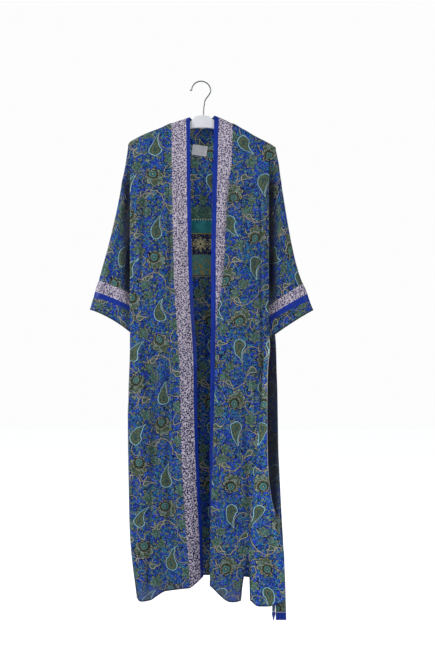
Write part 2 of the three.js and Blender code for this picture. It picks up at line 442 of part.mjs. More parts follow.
// The back, from the right side seam (wearer's) across to the left one, with the drop
// shoulder's columns outside both.
const NECK = { left: -80, right: 85.5, low: -184 };
const NECK_MID = (NECK.left + NECK.right) / 2, NECK_HALF = (NECK.right - NECK.left) / 2;
const neckDip = (x) => Math.sqrt(Math.max(0, 1 - ((x - NECK_MID) / NECK_HALF) ** 2));
const BACK_X = [-176, -144, -112, -80, -66, -46, -22, 2.75, 27.5, 51.5, 71.5, 85.5, 115, 147, 178];
function backGrid() {
  const build = (row, i) => {
    const zn = nominal(row);
    const side = (s) => {
      const plan = sidePlan(s, zn);
      if (plan.whole) {
        const slit = row.hem !== undefined ? (s === 'l' ? SLIT.backL(zn) : SLIT.both(zn)) : 0;
        const from = plan.at + slit, to = plan.whole.corner[6] + 14;
        const ls = spread(plan.whole, from, to, HEAD_N, 16);
        let pts = ls.map((l) => [...onPath(plan.whole, l), l < plan.whole.corner[1] ? l - plan.whole.corner[1] : 1]);
        let arm = Array(SHEET_N).fill(null);
        if (i === N_ARM) {
          arm = armpitEdge(s, 1).slice(1).map((p) => [...p, 1]);
          const up = rounded([[ARM[s].valley(zn), 17, 0], [ARM[s].valley(zn), 22, 6], [SIDE[s].o5(zn), 22, 6], [SIDE[s].o6(zn), 30, 6], [100, DEPTH.back(zn), 0]]);
          pts = spread(up, 0, up.corner[3] + 14, HEAD_N, 16).map((l) => [...onPath(up, l), 1]);
        }
        return { pts, arm };
      }
      const ls = spread(plan.rear, 0, plan.rear.corner[3] + 14, HEAD_N, 16);
      const pts = ls.map((l) => [...onPath(plan.rear, l), 1]);
      let to = plan.armRear.length;
      if (zn < -292) {
        const seamX = armhole(s, zn)[0];
        while (to > 1 && onPath(plan.armRear, to)[0] > seamX - 1e-3) to -= 0.25;
      }
      const arm = spread(plan.armRear, 0, to, SHEET_N, 12).slice(1).map((l) => [...onPath(plan.armRear, l), 1]);
      return { pts, arm };
    };
    const R = side('r'), L = side('l');
    const xr = -R.pts[HEAD_N][0], xl = L.pts[HEAD_N][0];
    const main = BACK_X.slice(0, BACK_N + 1).map((x) => {
      const u = (x - BACK_X[0]) / (BACK_X[BACK_N] - BACK_X[0]);
      const px = lerp(xr, xl, (u * (BACK_N - 0) + 0.6) / (BACK_N + 1.2));
      const keepX = clamp(x, xr + 5, xl - 5);
      return [lerp(px, keepX, 0.8), DEPTH.back(zn)];
    });
    const wave = (x, fade = 1) => folds(FOLDS.back, x, zn) * fade;
    const row3 = [];
    const put = (x, y, z) => row3.push([x, y, z]);
    const hem = (x, y) => (row.hem === undefined ? zn : lerp(SLIT_Z, HEM.back.z(x), row.hem));
    const hemSide = (s, p) => {
      if (row.hem === undefined) return zn;
      // the wrapped part follows the front's hem and rises towards the back
      const t = clamp((p[1] + 30) / 60, 0, 1);
      const front = HEM[s].z(p[0]), back = HEM.back.z((s === 'r' ? -1 : 1) * p[0]);
      return lerp(SLIT_Z, lerp(front, back, ease(t)), row.hem);
    };
    [...R.arm].reverse().forEach((p) => row3.push(p && [-p[0], p[1], zn]));
    R.pts.forEach((p) => put(-p[0], p[1], hemSide('r', p)));
    main.forEach((p) => put(p[0], p[1] + wave(p[0]), hem(p[0])));
    [...L.pts].reverse().forEach((p) => {
      const fade = p[2] < 0 ? 1 - ease((p[2] + 34) / 30) : 0;
      put(p[0], p[1] + folds(FOLDS.front, p[0], zn) * fade, hemSide('l', p));
    });
    L.arm.forEach((p) => row3.push(p && [p[0], p[1], zn]));
    return row3;
  };
  const level = ROWS.map((row, i) => (row.top === undefined ? build(row, i) : null));
  const base = level[N_BASE];
  const M0 = SHEET_N + HEAD_N + 1, M1 = M0 + BACK_N; // first and last column of the main part
  return ROWS.map((row, i) => {
    if (row.top === undefined) return level[i];
    const g = Math.min(1, row.top * 1.12);
    return base.map((p, k) => {
      const s = k <= M0 + 6 ? 'r' : 'l';
      const last = base.length - 1;
      let x, y, z;
      if (k >= M0 && k <= M1) x = lerp(p[0], BACK_X[k - M0], g);
      else if (k < M0) {
        const u = (M0 - k) / M0;
        x = -lerp(-BACK_X[0], 204, 1 - (1 - u) ** 1.3);
        x = lerp(p[0], x, g);
      } else {
        const u = (k - M1) / (last - M1);
        x = lerp(BACK_X[BACK_N], 209, 1 - (1 - u) ** 1.3);
        x = lerp(p[0], x, g);
      }
      const deep = DEPTH.back(lerp(BASE_Z, -130, row.top));
      y = lerp(p[1], k === 0 || k === last ? SEAM / 2 : deep, g);
      const dip = neckDip(x);
      const top = SHOULDER[s].z(Math.abs(x));
      if (x > NECK.left && x < NECK.right) {
        const ends = lerp(SHOULDER.r.z(-NECK.left), SHOULDER.l.z(NECK.right), (x - NECK.left) / (NECK.right - NECK.left));
        z = lerp(BASE_Z, lerp(ends, NECK.low, dip), row.top);
        const yo = Math.max(SEAM / 2, 26 * dip ** 0.8);
        y = lerp(p[1], lerp(yo, deep, 0), ease(row.top));
        y = lerp(y, Math.max(SEAM / 2, deep * row.roll), (1 - clamp(dip * 1.6, 0, 1)) * row.top);
      } else {
        z = lerp(BASE_Z, top, row.top);
        y = Math.max(SEAM / 2, y * row.roll);
      }
      return [x, y, z];
    });
  });
}

// ---------- sleeves: a flat tube from the armhole to the cuff ----------
// Lines across the sleeve, from the outer fold to the hidden inner fold.
const CUFF = {
  r: { armpit: [152, -531], lines: [[287, -556, 158, -612, 3], [296.5, -587, 159, -648, 4], [300.5, -602, 160, -664, 5], [311, -638, 163, -733, 12]] },
  l: { armpit: [152, -531], lines: [[287, -565, 158, -652, 3], [297.5, -594, 159, -680, 5], [303.5, -613, 160, -694, 6], [314, -639.5, 163, -742, 5]] },
};
const TUBE_Q = [0, 0.05, 0.13, 0.34, 0.56, 0.77, 0.94, 0.975, 1];
const TUBE_Y = [0, 0.62, 0.88, 1, 1, 0.98, 0.84, 0.55, 0];
function sleeveGrid(s) {
  const sign = s === 'r' ? -1 : 1;
  const c = CUFF[s];
  const v = ARM[s].valley(ARMPIT_Z);
  const outAt = (z) => OUTER[s].out(z);
  // armhole loop, inner fold first: [out, |y|, z]
  const start = [
    [c.armpit[0], 0, c.armpit[1]], [v + 2.5, 13.5, ARMPIT_Z - 2], [v + 20, 12, ARMPIT_Z],
    [armhole(s, -430)[0], ARM[s].out(-430), -430], [armhole(s, -385)[0], ARM[s].out(-385), -385],
    [armhole(s, -342)[0], ARM[s].out(-342), -342], [armhole(s, -303)[0], ARM[s].out(-303) * 0.98, -303],
    [0, 0, 0], [outAt(-292), 0, -292]];
  start[7] = [lerp(start[6][0], start[8][0], 0.5), start[6][1] / 2, -297.5];
  const line = (k, q) => {
    const [xo, zo, xi, zi, bow] = c.lines[k];
    return [lerp(xi, xo, q), lerp(zi, zo, q) + bow * 4 * q * (1 - q)];
  };
  const rows = [0, 0.1, 0.28, 0.46, 0.64, 0.82, 1].map((t) => ({ k: -1, t })); // tube
  const all = [...rows, { k: 0, u: 0.5 }, { k: 0, u: 1 }, { k: 1, u: 1 }, { k: 2, u: 0.5 }, { k: 2, u: 1 }];
  return all.map((r) => {
    const side = start.map((p, j) => {
      const q = TUBE_Q[j];
      if (r.k < 0) {
        const e = line(0, q);
        let x = lerp(p[0], e[0], r.t), z = lerp(p[2], e[1], r.t);
        if (j === 0) x += 5 * Math.sin(Math.PI * Math.min(1, r.t * 2.2) / 2);
        const y = lerp(p[1], 9.2 * TUBE_Y[j], ease(Math.min(1, r.t * 2)));
        if (j >= 3) x += (outAt(lerp(-292, c.lines[0][1], r.t)) - lerp(outAt(-292), c.lines[0][0], r.t)) * ((q - 0.13) / 0.87);
        const fold = 2.2 * Math.sin(q * 14 + 0.6) * Math.sin(Math.PI * r.t) * TUBE_Y[j];
        return [x, y + fold, z];
      }
      const a = line(r.k, q), b = line(r.k + 1, q);
      return [lerp(a[0], b[0], r.u), (9.2 + 1.2 * (r.k + r.u)) * TUBE_Y[j], lerp(a[1], b[1], r.u)];
    });
    const loop = [];
    side.forEach((p) => loop.push([sign * p[0], -p[1], p[2]])); // front, inner to outer
    for (let j = side.length - 2; j >= 1; j--) loop.push([sign * side[j][0], side[j][1], side[j][2]]);
    return loop;
  });
}

// ---------- the part ----------
const kimono = new THREE.Group();
kimono.name = 'kimono_on_hanger';
const MATERIALS = {
  print: { color: 0x20307f, roughness: 0.62, metalness: 0 },
  band: { color: 0x9c8ba8, roughness: 0.66, metalness: 0 },
  blue: { color: 0x1c2f9e, roughness: 0.45, metalness: 0 },
  label: { color: 0xe9e8ec, roughness: 0.7, metalness: 0 },
  plastic: { color: 0xf3f4f6, roughness: 0.35, metalness: 0 },
  steel: { color: 0x9ea3a8, roughness: 0.25, metalness: 1 },
};
function piece(name, geometry, material) {
  const mesh = new THREE.Mesh(geometry, new THREE.MeshStandardMaterial(MATERIALS[material]));
  mesh.name = name;
  kimono.add(mesh);
}

const H = SEAM / 2;
// where the side seam slides across a fold its edges stand a little further apart
const sideGap = (i) => { const z = ROWS[i].z; return z === -600 || z === -640 ? 1.1 : z === -690 || z === -850 || z === -930 ? 0.4 : H; };
const backPts = backGrid();
const B_LAST = backPts[0].length - 1;
const R_TOP = ROWS.length - 1;
// column numbers in the back grid
const bSeamR = SHEET_N, bSeamL = B_LAST - SHEET_N;
const nNeck0 = SHEET_N + HEAD_N + 1 + BACK_X.indexOf(-80), nNeck1 = SHEET_N + HEAD_N + 1 + BACK_X.indexOf(85.5);

for (const s of ['r', 'l']) {
  const front = frontGrid(s);
  const C = front[0].length, seamCol = C - 1 - SHEET_N;
  // neighbours beyond the side seam give both pieces the same normals
  const full = front.map((row, i) => row.map((p, j) => p ?? (j === seamCol + 1 && i < N_ARM ? backPts[i][s === 'r' ? bSeamR + 1 : bSeamL - 1] : null)));
  const norm = normals(full, (i, j) => i === R_TOP || (j === C - 1 && i >= N_CUFFTOP));
  const keepAll = (i, j) => front[i][j] && front[i][j + 1] && front[i + 1][j] && front[i + 1][j + 1];
  const side = s === 'r' ? 'right' : 'left';
  const cut = (a, b) => (i, j) => j >= a && j < b && keepAll(i, j);
  const trims = (a, b) => (i, j) => {
    const t = [];
    if (j === a && a > 0) t.push([0, 1, H]);
    if (j === b && b < C - 1) t.push([0, -1, b === seamCol && i < N_ARM ? sideGap(i) : H]);
    if (b === C - 1) {
      if (j === C - 1 && i < N_CUFFTOP && i > N_ARM) t.push([0, -1, H]);
      if (i === N_ARM && j > seamCol) t.push([1, 0, 0.5]);
    }
    return t.length ? t : null;
  };
  piece(`band_blue_${side}`, cloth(full, norm, cut(0, 1), { trim: trims(0, 1) }), 'blue');
  piece(`band_print_${side}`, cloth(full, norm, cut(1, 3), { trim: trims(1, 3) }), 'band');
  // one panel, in three nodes: its face, its side tuck and its drop shoulder
  const turn = seamCol - TAIL_N;
  for (const [name, a, b] of [['front', 3, turn], ['front_side', turn, seamCol], ['front_shoulder', seamCol, C - 1]]) {
    piece(`${name}_${side}`, cloth(full, norm, cut(a, b), { trim: trims(a, b) }), 'print');
  }

  // sleeve and cuff strips
  const tube = sleeveGrid(s);
  const tn = normals(tube, () => false, true);
  const TC = tube[0].length;
  const rowsCut = (a, b) => (i) => i >= a && i < b;
  const tubeTrim = (a, b, first) => (i, j) => {
    const near = j < 2 || j === TC - 1 ? 0.4 : H;
    if (i === a) return first ? [[1, 0, j < 2 || j === TC - 1 ? 1.6 : j === 2 || j === TC - 2 ? 1 : H + 0.2]] : [[1, 0, near]];
    return i === b && b < tube.length - 1 ? [[-1, 0, near]] : null;
  };
  piece(`sleeve_${side}`, cloth(tube, tn, rowsCut(0, 6), { wrap: true, trim: tubeTrim(0, 6, true) }), 'print');
  piece(`cuff_print_${side}`, cloth(tube, tn, rowsCut(6, 8), { wrap: true, trim: tubeTrim(6, 8) }), 'band');
  piece(`cuff_blue_${side}`, cloth(tube, tn, rowsCut(8, 9), { wrap: true, trim: tubeTrim(8, 9) }), 'blue');
  piece(`cuff_end_${side}`, cloth(tube, tn, rowsCut(9, 11), { wrap: true, trim: tubeTrim(9, 11) }), 'print');
}

// back panel
{
  const bn = normals(backPts, (i, j) => (i === R_TOP && (j <= nNeck0 || j >= nNeck1)) || ((j === 0 || j === B_LAST) && i >= N_CUFFTOP));
  const keep = (a, b) => (i, j) => j >= a && j < b && backPts[i][j] && backPts[i][j + 1] && backPts[i + 1][j] && backPts[i + 1][j + 1];
  const shoulderGap = (c, i) => (c === bSeamR || c === bSeamL ? (i < N_ARM ? sideGap(i) : 0.6) : H);
  const trim = (a, b) => (i, j) => {
    const t = [];
    if (j === a && a > 0) t.push([0, 1, shoulderGap(a, i)]);
    if (j === b && b < B_LAST) t.push([0, -1, shoulderGap(b, i)]);
    if (j === 0 && i < N_CUFFTOP && i > N_ARM) t.push([0, 1, H]);
    if (j === B_LAST && i < N_CUFFTOP && i > N_ARM) t.push([0, -1, H]);
    if (i === N_ARM && (j < bSeamR || j > bSeamL)) t.push([1, 0, 0.5]);
    if (i === R_TOP && j >= nNeck0 && j <= nNeck1) t.push([-1, 0, 0.5]);
    return t.length ? t : null;
  };
  // one panel, in five nodes: the middle, and a side and a drop shoulder each way
  const M0 = bSeamR + HEAD_N + 1, M1 = M0 + BACK_N;
  for (const [name, a, b] of [['back', M0, M1], ['back_side_right', bSeamR, M0], ['back_side_left', M1, bSeamL], ['back_shoulder_right', 0, bSeamR], ['back_shoulder_left', bSeamL, B_LAST]]) {
    piece(name, cloth(backPts, bn, keep(a, b), { trim: trim(a, b) }), 'print');
  }
}

// back of the neck: the band from shoulder to shoulder
{
  const inner = table(['t', 'x', 'y', 'z'], [[0, -31.5, 0.15, -99.2], [0.18, -21, 9, -112], [0.32, -15, 19, -126.5], [0.5, 3, 23, -129.8], [0.68, 21, 19, -126.5], [0.82, 25.5, 9, -109], [1, 37.4, 0.15, -94.6]]);
  const top = backPts[R_TOP].slice(nNeck0, nNeck1 + 1);
  const len = [0];
  for (let k = 1; k < top.length; k++) len.push(len[k - 1] + Math.hypot(...sub(top[k], top[k - 1])));
  const grid = [1, 0.63, 0.25, 0].map((t) => top.map((o, k) => {
    const u = len[k] / len[len.length - 1];
    const p = [inner.x(u), inner.y(u), inner.z(u)];
    const bulge = 5 * Math.sin(Math.PI * t) * Math.sin(Math.PI * u);
    return [lerp(p[0], o[0], t), Math.max(H, lerp(p[1], o[1], t) + bulge * 0.5), lerp(p[2], o[2], t) + bulge * 0.4];
  }));
  const K = top.length - 1;
  const nn = normals(grid, (i, j) => j === 0 || j === K);
  const trim = (a, b) => (i, j) => {
    const t = [];
    if (i === a) t.push([1, 0, a === 0 ? 0.5 : H]);
    if (i === b && b < 3) t.push([-1, 0, H]);
    return t.length ? t : null;
  };
  piece('band_print_neck', cloth(grid, nn, (i) => i < 2, { trim: trim(0, 2) }), 'band');
  piece('band_blue_neck', cloth(grid, nn, (i) => i >= 2, { trim: trim(2, 3) }), 'blue');
}

// neck label: a blank tab on the inside of the back
function backAt(x, z) {
  const M0 = SHEET_N + HEAD_N + 1, M1 = M0 + BACK_N;
  let best = null;
  for (let i = 0; i < R_TOP; i++) for (let j = M0; j < M1; j++) {
    const [a, b, c, d] = [backPts[i][j], backPts[i][j + 1], backPts[i + 1][j], backPts[i + 1][j + 1]];
    const u = (x - a[0]) / (b[0] - a[0]);
    if (u < 0 || u > 1) continue;
    const z0 = lerp(a[2], b[2], u), z1 = lerp(c[2], d[2], u);
    if (z >= z0 && z <= z1) best = lerp(lerp(a[1], b[1], u), lerp(c[1], d[1], u), (z - z0) / (z1 - z0));
  }
  return best;
}
{
  const { w, h, t, x, z, tilt } = LABEL;
  const grid = [0, 0.5, 1].map((v) => [0, 0.33, 0.67, 1].map((u) => {
    const a = (u - 0.5) * w, b = (v - 0.5) * h;
    const px = x + a * Math.cos(tilt) - b * Math.sin(tilt), pz = z + a * Math.sin(tilt) + b * Math.cos(tilt);
    return [px, (backAt(px, Math.min(pz, -186)) ?? 22) - 1.4 - 0.4 * (1 - v), pz];
  }));
  piece('neck_label', cloth(grid, normals(grid), () => true, { wall: t }), 'label');
}

// belt: one strip hung in half over a loop behind the right-hand edge, with plain tips
function ribbon(path, width, thick) {
  // path rows: [x, y, z, angle of the width in plan (null: upright), share of width]
  const pos = [], idx = [], n = path.length;
  path.forEach(([x, y, z, ang, share = 1], i) => {
    const before = path[Math.max(0, i - 1)], after = path[Math.min(n - 1, i + 1)];
    const tangent = unit(sub(after.slice(0, 3), before.slice(0, 3)));
    const across = ang === null ? [0, 0, 1] : [Math.cos(ang), Math.sin(ang), 0];
    const out = unit(cross(across, tangent));
    for (const [a, b] of [[-1, -1], [1, -1], [1, 1], [-1, 1]]) pos.push(...place(add(add([x, y, z], across, (a * width * share) / 2), out, (b * thick) / 2)));
  });
  for (let i = 0; i < n - 1; i++) for (let k = 0; k < 4; k++) {
    const a = i * 4 + k, b = i * 4 + ((k + 1) % 4);
    idx.push(a, b, b + 4, a, b + 4, a + 4);
  }
  idx.push(0, 2, 1, 0, 3, 2, (n - 1) * 4, (n - 1) * 4 + 1, (n - 1) * 4 + 2, (n - 1) * 4, (n - 1) * 4 + 2, (n - 1) * 4 + 3);
  return solid(pos, idx);
}
{
  const narrow = table(['z', 'x', 'y', 'turn', 'share'], [[-560, 180, 46.2, 0, 1], [-640, 183, 46.5, 0.12, 1], [-800, 189, 46, -0.25, 1], [-1000, 193, 46.5, 0.3, 1], [-1200, 199, 46, 0.5, 0.95], [-1400, 205, 47, 0.95, 0.8], [-1450, 206, 47, 1.1, 0.62], [-1478, 206.5, 46.5, 1.1, 0.55], [-1507, 206.5, 46, 1.1, 0.4]]);
  const wide = table(['z', 'x', 'y', 'turn', 'share'], [[-560, 180, 38.8, 0, 1], [-640, 184, 38.5, -0.1, 1], [-800, 192, 38.5, 0.1, 1], [-1000, 200, 39, -0.1, 1], [-1200, 210, 38.5, 0.1, 1], [-1400, 221, 39, -0.15, 1], [-1450, 222.5, 39, -0.2, 1], [-1482, 223.5, 38.5, -0.2, 1], [-1507, 224, 38, -0.2, 1]]);
  const zs = [-590, -640, -720, -800, -880, -960, -1040, -1120, -1200, -1280, -1350, -1400, -1440];
  const row = (t, z) => [t.x(z), t.y(z), z, t.turn(z), t.share(z)];
  const over = [0.18, 0.5, 0.82].map((u) => { const a = Math.PI * u; return [180, 42.5 + 3.9 * Math.cos(a), -572 + 4.4 * Math.sin(a), 0, 1]; });
  const path = [...[...zs, -1483].reverse().map((z) => row(narrow, z)), ...over, ...[...zs, -1485].map((z) => row(wide, z))];
  piece('belt', ribbon(path, BELT_W, BELT_T), 'print');
  piece('belt_tip_narrow', ribbon([[...row(narrow, -1483.3)], [...row(narrow, -1490).slice(0, 4), 0.72], [...row(narrow, -1497).slice(0, 4), 0.45], [...row(narrow, -1507).slice(0, 4), 0.1]], BELT_W, BELT_T), 'blue');
  piece('belt_tip_wide', ribbon([row(wide, -1485.3), row(wide, -1496), row(wide, -1507)], BELT_W, BELT_T), 'blue');
  // the loops: upright carriers sewn down at both ends, the belt hangs over the left one
  for (const [name, x, foot] of [['belt_loop_left', 180, 30.4], ['belt_loop_right', -180, 30.65]]) {
    const arc = [[-22, foot], [-21.5, 36], [-19, 40.5], [-15, 42.4], [0, 42.6], [15, 42.4], [19, 40.5], [21.5, 36], [22, foot]];
    piece(name, ribbon(arc.map(([dx, y]) => [x + dx, y, -571.6, null, 1]), 4, 1.4), 'print');
  }
}

// ---------- hanger ----------
{
  const top = table(['x', 'z'], [[-192, -174], [-185, -168.5], [-157, -154], [-129, -142.5], [-101, -131.5], [-73, -123], [-45, -112.5], [-30, -110.5], [-22, -103], [-14, -96.5], [2, HUB_TOP], [20, -96], [28, -101], [36, -106.5], [60, -116], [80, -126], [95, -129], [123, -143], [151, -160], [179, -174.5], [190, -182], [198, -190]]);
  const low = table(['x', 'z'], [[-192, -181], [-185, -184], [-157, -173], [-129, -163], [-101, -153], [-73, -143.5], [-45, -135], [-22, -130], [2, -128.5], [26, -130], [60, -138], [95, -152], [123, -165], [151, -180], [179, -194], [190, -198], [198, -195]]);
  const xs = [-192, -186, -171, -140, -105, -70, -42, -30, -22, -13, -4, 2, 8, 18, 26, 34, 46, 75, 110, 140, 172, 190, 198];
  const pos = [], idx = [];
  const t = HANGER_T / 2, c = 1.6;
  xs.forEach((x, i) => {
    const end = i === 0 || i === xs.length - 1 ? 0.55 : 1;
    const a = top.z(x), b = low.z(x);
    for (const [y, z] of [[-t * end, a - c], [-(t - c) * end, a], [(t - c) * end, a], [t * end, a - c], [t * end, b + c], [(t - c) * end, b], [-(t - c) * end, b], [-t * end, b + c]]) pos.push(x, y, z);
  });
  for (let i = 0; i < xs.length - 1; i++) for (let k = 0; k < 8; k++) {
    const a = i * 8 + k, b = i * 8 + ((k + 1) % 8);
    idx.push(a, b + 8, b, a, a + 8, b + 8);
  }
  for (const [at, flip] of [[0, 1], [(xs.length - 1) * 8, -1]]) for (let k = 1; k < 7; k++) idx.push(...(flip > 0 ? [at, at + k, at + k + 1] : [at, at + k + 1, at + k]));
  piece('hanger_body', solid(pos, idx), 'plastic');

  // wire hook: an arc over the rail, then a gooseneck down into the hub
  const pts = [[-31, -25.5], [-28.8, -23.6]];
  for (let a = 176; a >= -6; a -= 13) pts.push([(HOOK_R + WIRE_R) * Math.cos((a * Math.PI) / 180), -HOOK_R + (HOOK_R + WIRE_R) * Math.sin((a * Math.PI) / 180)]);
  pts.push([23.6, -34], [18.6, -41.5], [13.6, -48], [10.2, -55.5], [9.2, -64], [7.6, -73], [7, -81], [7, HUB_TOP + SEAM + 0.35]);
  const cage = [], tri = [], N = 8;
  pts.forEach((p, i) => {
    const a = pts[Math.max(0, i - 1)], b = pts[Math.min(pts.length - 1, i + 1)];
    const l = Math.hypot(b[0] - a[0], b[1] - a[1]);
    const nx = -(b[1] - a[1]) / l, nz = (b[0] - a[0]) / l;
    for (let k = 0; k < N; k++) {
      const w = (2 * Math.PI * (k + 0.5)) / N;
      cage.push(p[0] + nx * WIRE_R * Math.cos(w), WIRE_R * Math.sin(w), p[1] + nz * WIRE_R * Math.cos(w));
    }
  });
  for (let i = 0; i < pts.length - 1; i++) for (let k = 0; k < N; k++) {
    const a = i * N + k, b = i * N + ((k + 1) % N);
    tri.push(a, b, b + N, a, b + N, a + N);
  }
  for (let k = 1; k < N - 1; k++) tri.push(0, k + 1, k, (pts.length - 1) * N, (pts.length - 1) * N + k, (pts.length - 1) * N + k + 1);
  piece('hanger_hook', solid(cage, tri), 'steel');
}

export default kimono;
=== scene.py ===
# %% [markdown]
# # A long printed kimono on its hanger
# The frame is the CAD model of a hung garment. Each cloth piece is made again here from the same
# cut, on a finer grid, so that it can carry soft folds, hems, seams and a printed pattern.
# Every length below is in millimetres and turns into metres when a mesh is written.

import bisect
import math
from types import SimpleNamespace

import bpy
import numpy as np
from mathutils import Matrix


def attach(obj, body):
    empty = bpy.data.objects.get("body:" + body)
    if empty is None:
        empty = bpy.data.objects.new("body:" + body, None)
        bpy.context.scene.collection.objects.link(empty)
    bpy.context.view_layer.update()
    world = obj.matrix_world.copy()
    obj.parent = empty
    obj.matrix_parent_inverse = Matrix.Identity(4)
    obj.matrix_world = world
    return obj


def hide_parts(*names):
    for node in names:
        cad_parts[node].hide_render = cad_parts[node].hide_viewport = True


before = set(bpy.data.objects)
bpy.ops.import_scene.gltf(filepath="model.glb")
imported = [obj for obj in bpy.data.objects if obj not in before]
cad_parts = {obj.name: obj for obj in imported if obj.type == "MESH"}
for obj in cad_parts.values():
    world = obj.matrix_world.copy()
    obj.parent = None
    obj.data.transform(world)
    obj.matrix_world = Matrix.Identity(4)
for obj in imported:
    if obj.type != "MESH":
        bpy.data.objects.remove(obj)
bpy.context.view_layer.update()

# %% [markdown]
# ## Camera
# The camera stands square on at 2.6 m. A 2:3 frame that takes in 1.83 m at that distance is a
# 51 mm lens on a 36 mm long side, so no shift is needed.

# %% Camera
lens = bpy.data.cameras.new("front_camera")
camera = bpy.data.objects.new("front_camera", lens)
bpy.context.scene.collection.objects.link(camera)
bpy.context.scene.camera = camera
camera.location = (0.046, -2.6, -0.685)
camera.rotation_euler = (math.pi / 2, 0, 0)
lens.lens = 36 * 2600 / (653 * 2.8)
print("lens", round(lens.lens, 1))

# %% [markdown]
# ## Reading the cut
# A garment's outline is easiest to state as short tables: the outer fold of the sleeve by height,
# the inner edge of the band, the height of the hem. They are read smoothly, with a monotone cubic
# that never swings past a stated number.

# %% Small helpers
def lerp(a, b, t):
    return a + (b - a) * t


def clamp(v, a, b):
    return min(b, max(a, v))


def ease(t):
    c = clamp(t, 0, 1)
    return c * c * (3 - 2 * c)


def table(names, rows):
    rows = sorted(rows)
    xs = [r[0] for r in rows]

    def column(c):
        ys = [r[c] for r in rows]
        d = [(ys[i + 1] - ys[i]) / (xs[i + 1] - xs[i]) for i in range(len(xs) - 1)]
        m = [0 if a * b <= 0 else 2 * a * b / (a + b) for a, b in zip(d, d[1:])]
        m = [d[0], *m, d[-1]]

        def read(x):
            if not x > xs[0]:
                return ys[0]
            if x >= xs[-1]:
                return ys[-1]
            i = bisect.bisect_right(xs, x) - 1
            h = xs[i + 1] - xs[i]
            t = (x - xs[i]) / h
            return ((2 * t**3 - 3 * t * t + 1) * ys[i] + (t**3 - 2 * t * t + t) * h * m[i]
                    + (3 * t * t - 2 * t**3) * ys[i + 1] + (t**3 - t * t) * h * m[i + 1])

        return read

    return SimpleNamespace(**{name: column(c) for c, name in enumerate(names)})


def smooth(a, b, x):
    t = np.clip((np.asarray(x, float) - a) / (b - a), 0, 1)
    return t * t * (3 - 2 * t)


print("a soft step is at", smooth(0, 1, 0.5), "halfway")


# %% [markdown]
# ## The cut
# Every outline is a short table that is read by height: shoulders, edges, bands, sides, hems.

# %% The cut, as tables
SEAM, BLUE_W, PRINT_W, BAND_W = 0.3, 13, 39, 52
BASE_Z, ARMPIT_Z, SLIT_Z = -230, -470, -1331
SHOULDER = {
    "r": table(
        ["out", "z"],
        [
            [20, -97], [31, -99], [45, -104], [73, -112.6], [101, -124], [129, -135], [157, -146],
            [185, -160], [199, -168.6], [204, -176]
        ]
    ),
    "l": table(
        ["out", "z"],
        [
            [30, -93], [37, -94.5], [67, -107], [95, -121], [123, -135], [151, -151.8], [179, -165.8],
            [199, -177], [209, -184]
        ]
    ),
}
OUTER = {
    "r": table(
        ["z", "out"],
        [
            [-176, 204], [-193, 205.6], [-208, 207], [-230, 211], [-292, 223], [-342, 232], [-454, 258],
            [-544, 283], [-633, 308], [-638, 311]
        ]
    ),
    "l": table(
        ["z", "out"],
        [
            [-184, 209], [-196, 213.5], [-213, 216], [-230, 217.5], [-275, 223], [-320, 230], [-432, 249],
            [-521, 269], [-589, 294], [-633, 311], [-639, 314]
        ]
    ),
}
BAND = {
    "r": table(
        ["z", "inner", "turn"],
        [
            [-99, 31, 0], [-129, 30.8, 0], [-230, 30, 3], [-339, 28.8, 8], [-524, 25, 10], [-611, 22, 14],
            [-695, 16.5, 18], [-782, 12, 22], [-933, 10.5, 28], [-1109, 4.5, 26], [-1283, -3.5, 38],
            [-1339, -4.2, 46], [-1450, -6, 52]
        ]
    ),
    "l": table(
        ["z", "inner", "lap"],
        [
            [-94, 37.5, 0], [-129, 36.4, 0], [-174, 35, 1], [-260, 32.6, 6], [-339, 30.8, 9], [-524, 28, 17],
            [-611, 28, 27], [-667, 28, 36], [-737, 26.6, 38], [-891, 26, 41], [-1109, 24.6, 46],
            [-1283, 24.4, 51], [-1450, 24.4, 52]
        ]
    ),
}
DEPTH = table(
    ["z", "front", "back"],
    [
        [-90, -9, 9], [-170, -10, 11], [-230, -13, 15], [-300, -19, 20], [-455, -27, 27], [-700, -30, 30],
        [-1000, -31, 31], [-1450, -32, 32]
    ]
)
ARM_COLS = ["z", "ridge", "valley", "top", "back", "out"]
ARM = {
    "r": table(
        ARM_COLS,
        [
            [-230, 199, 191.5, 18, 13.6, 9], [-260, 199, 186, 21, 15.5, 10], [-292, 199, 178, 24, 17.5, 10.5],
            [-342, 199, 166, 27, 20, 11], [-385, 199, 158, 28.5, 21, 11.5], [-430, 199, 152, 29.5, 22, 12],
            [-470, 199, 150, 30, 22, 12]
        ]
    ),
    "l": table(
        ARM_COLS,
        [
            [-230, 190, 183, 18, 13.6, 9], [-260, 190, 178, 21, 15.5, 10], [-292, 190, 171, 24, 17.5, 10.5],
            [-342, 190, 162, 27, 20, 11], [-385, 190, 156, 28.5, 21, 11.5], [-430, 190, 151, 29.5, 22, 12],
            [-470, 190, 150, 30, 22, 12]
        ]
    ),
}
SIDE_COLS = ["z", "o1", "y1", "o2", "y2", "o3", "y3", "o4", "y4", "o5", "y5", "o6", "y6", "seam"]
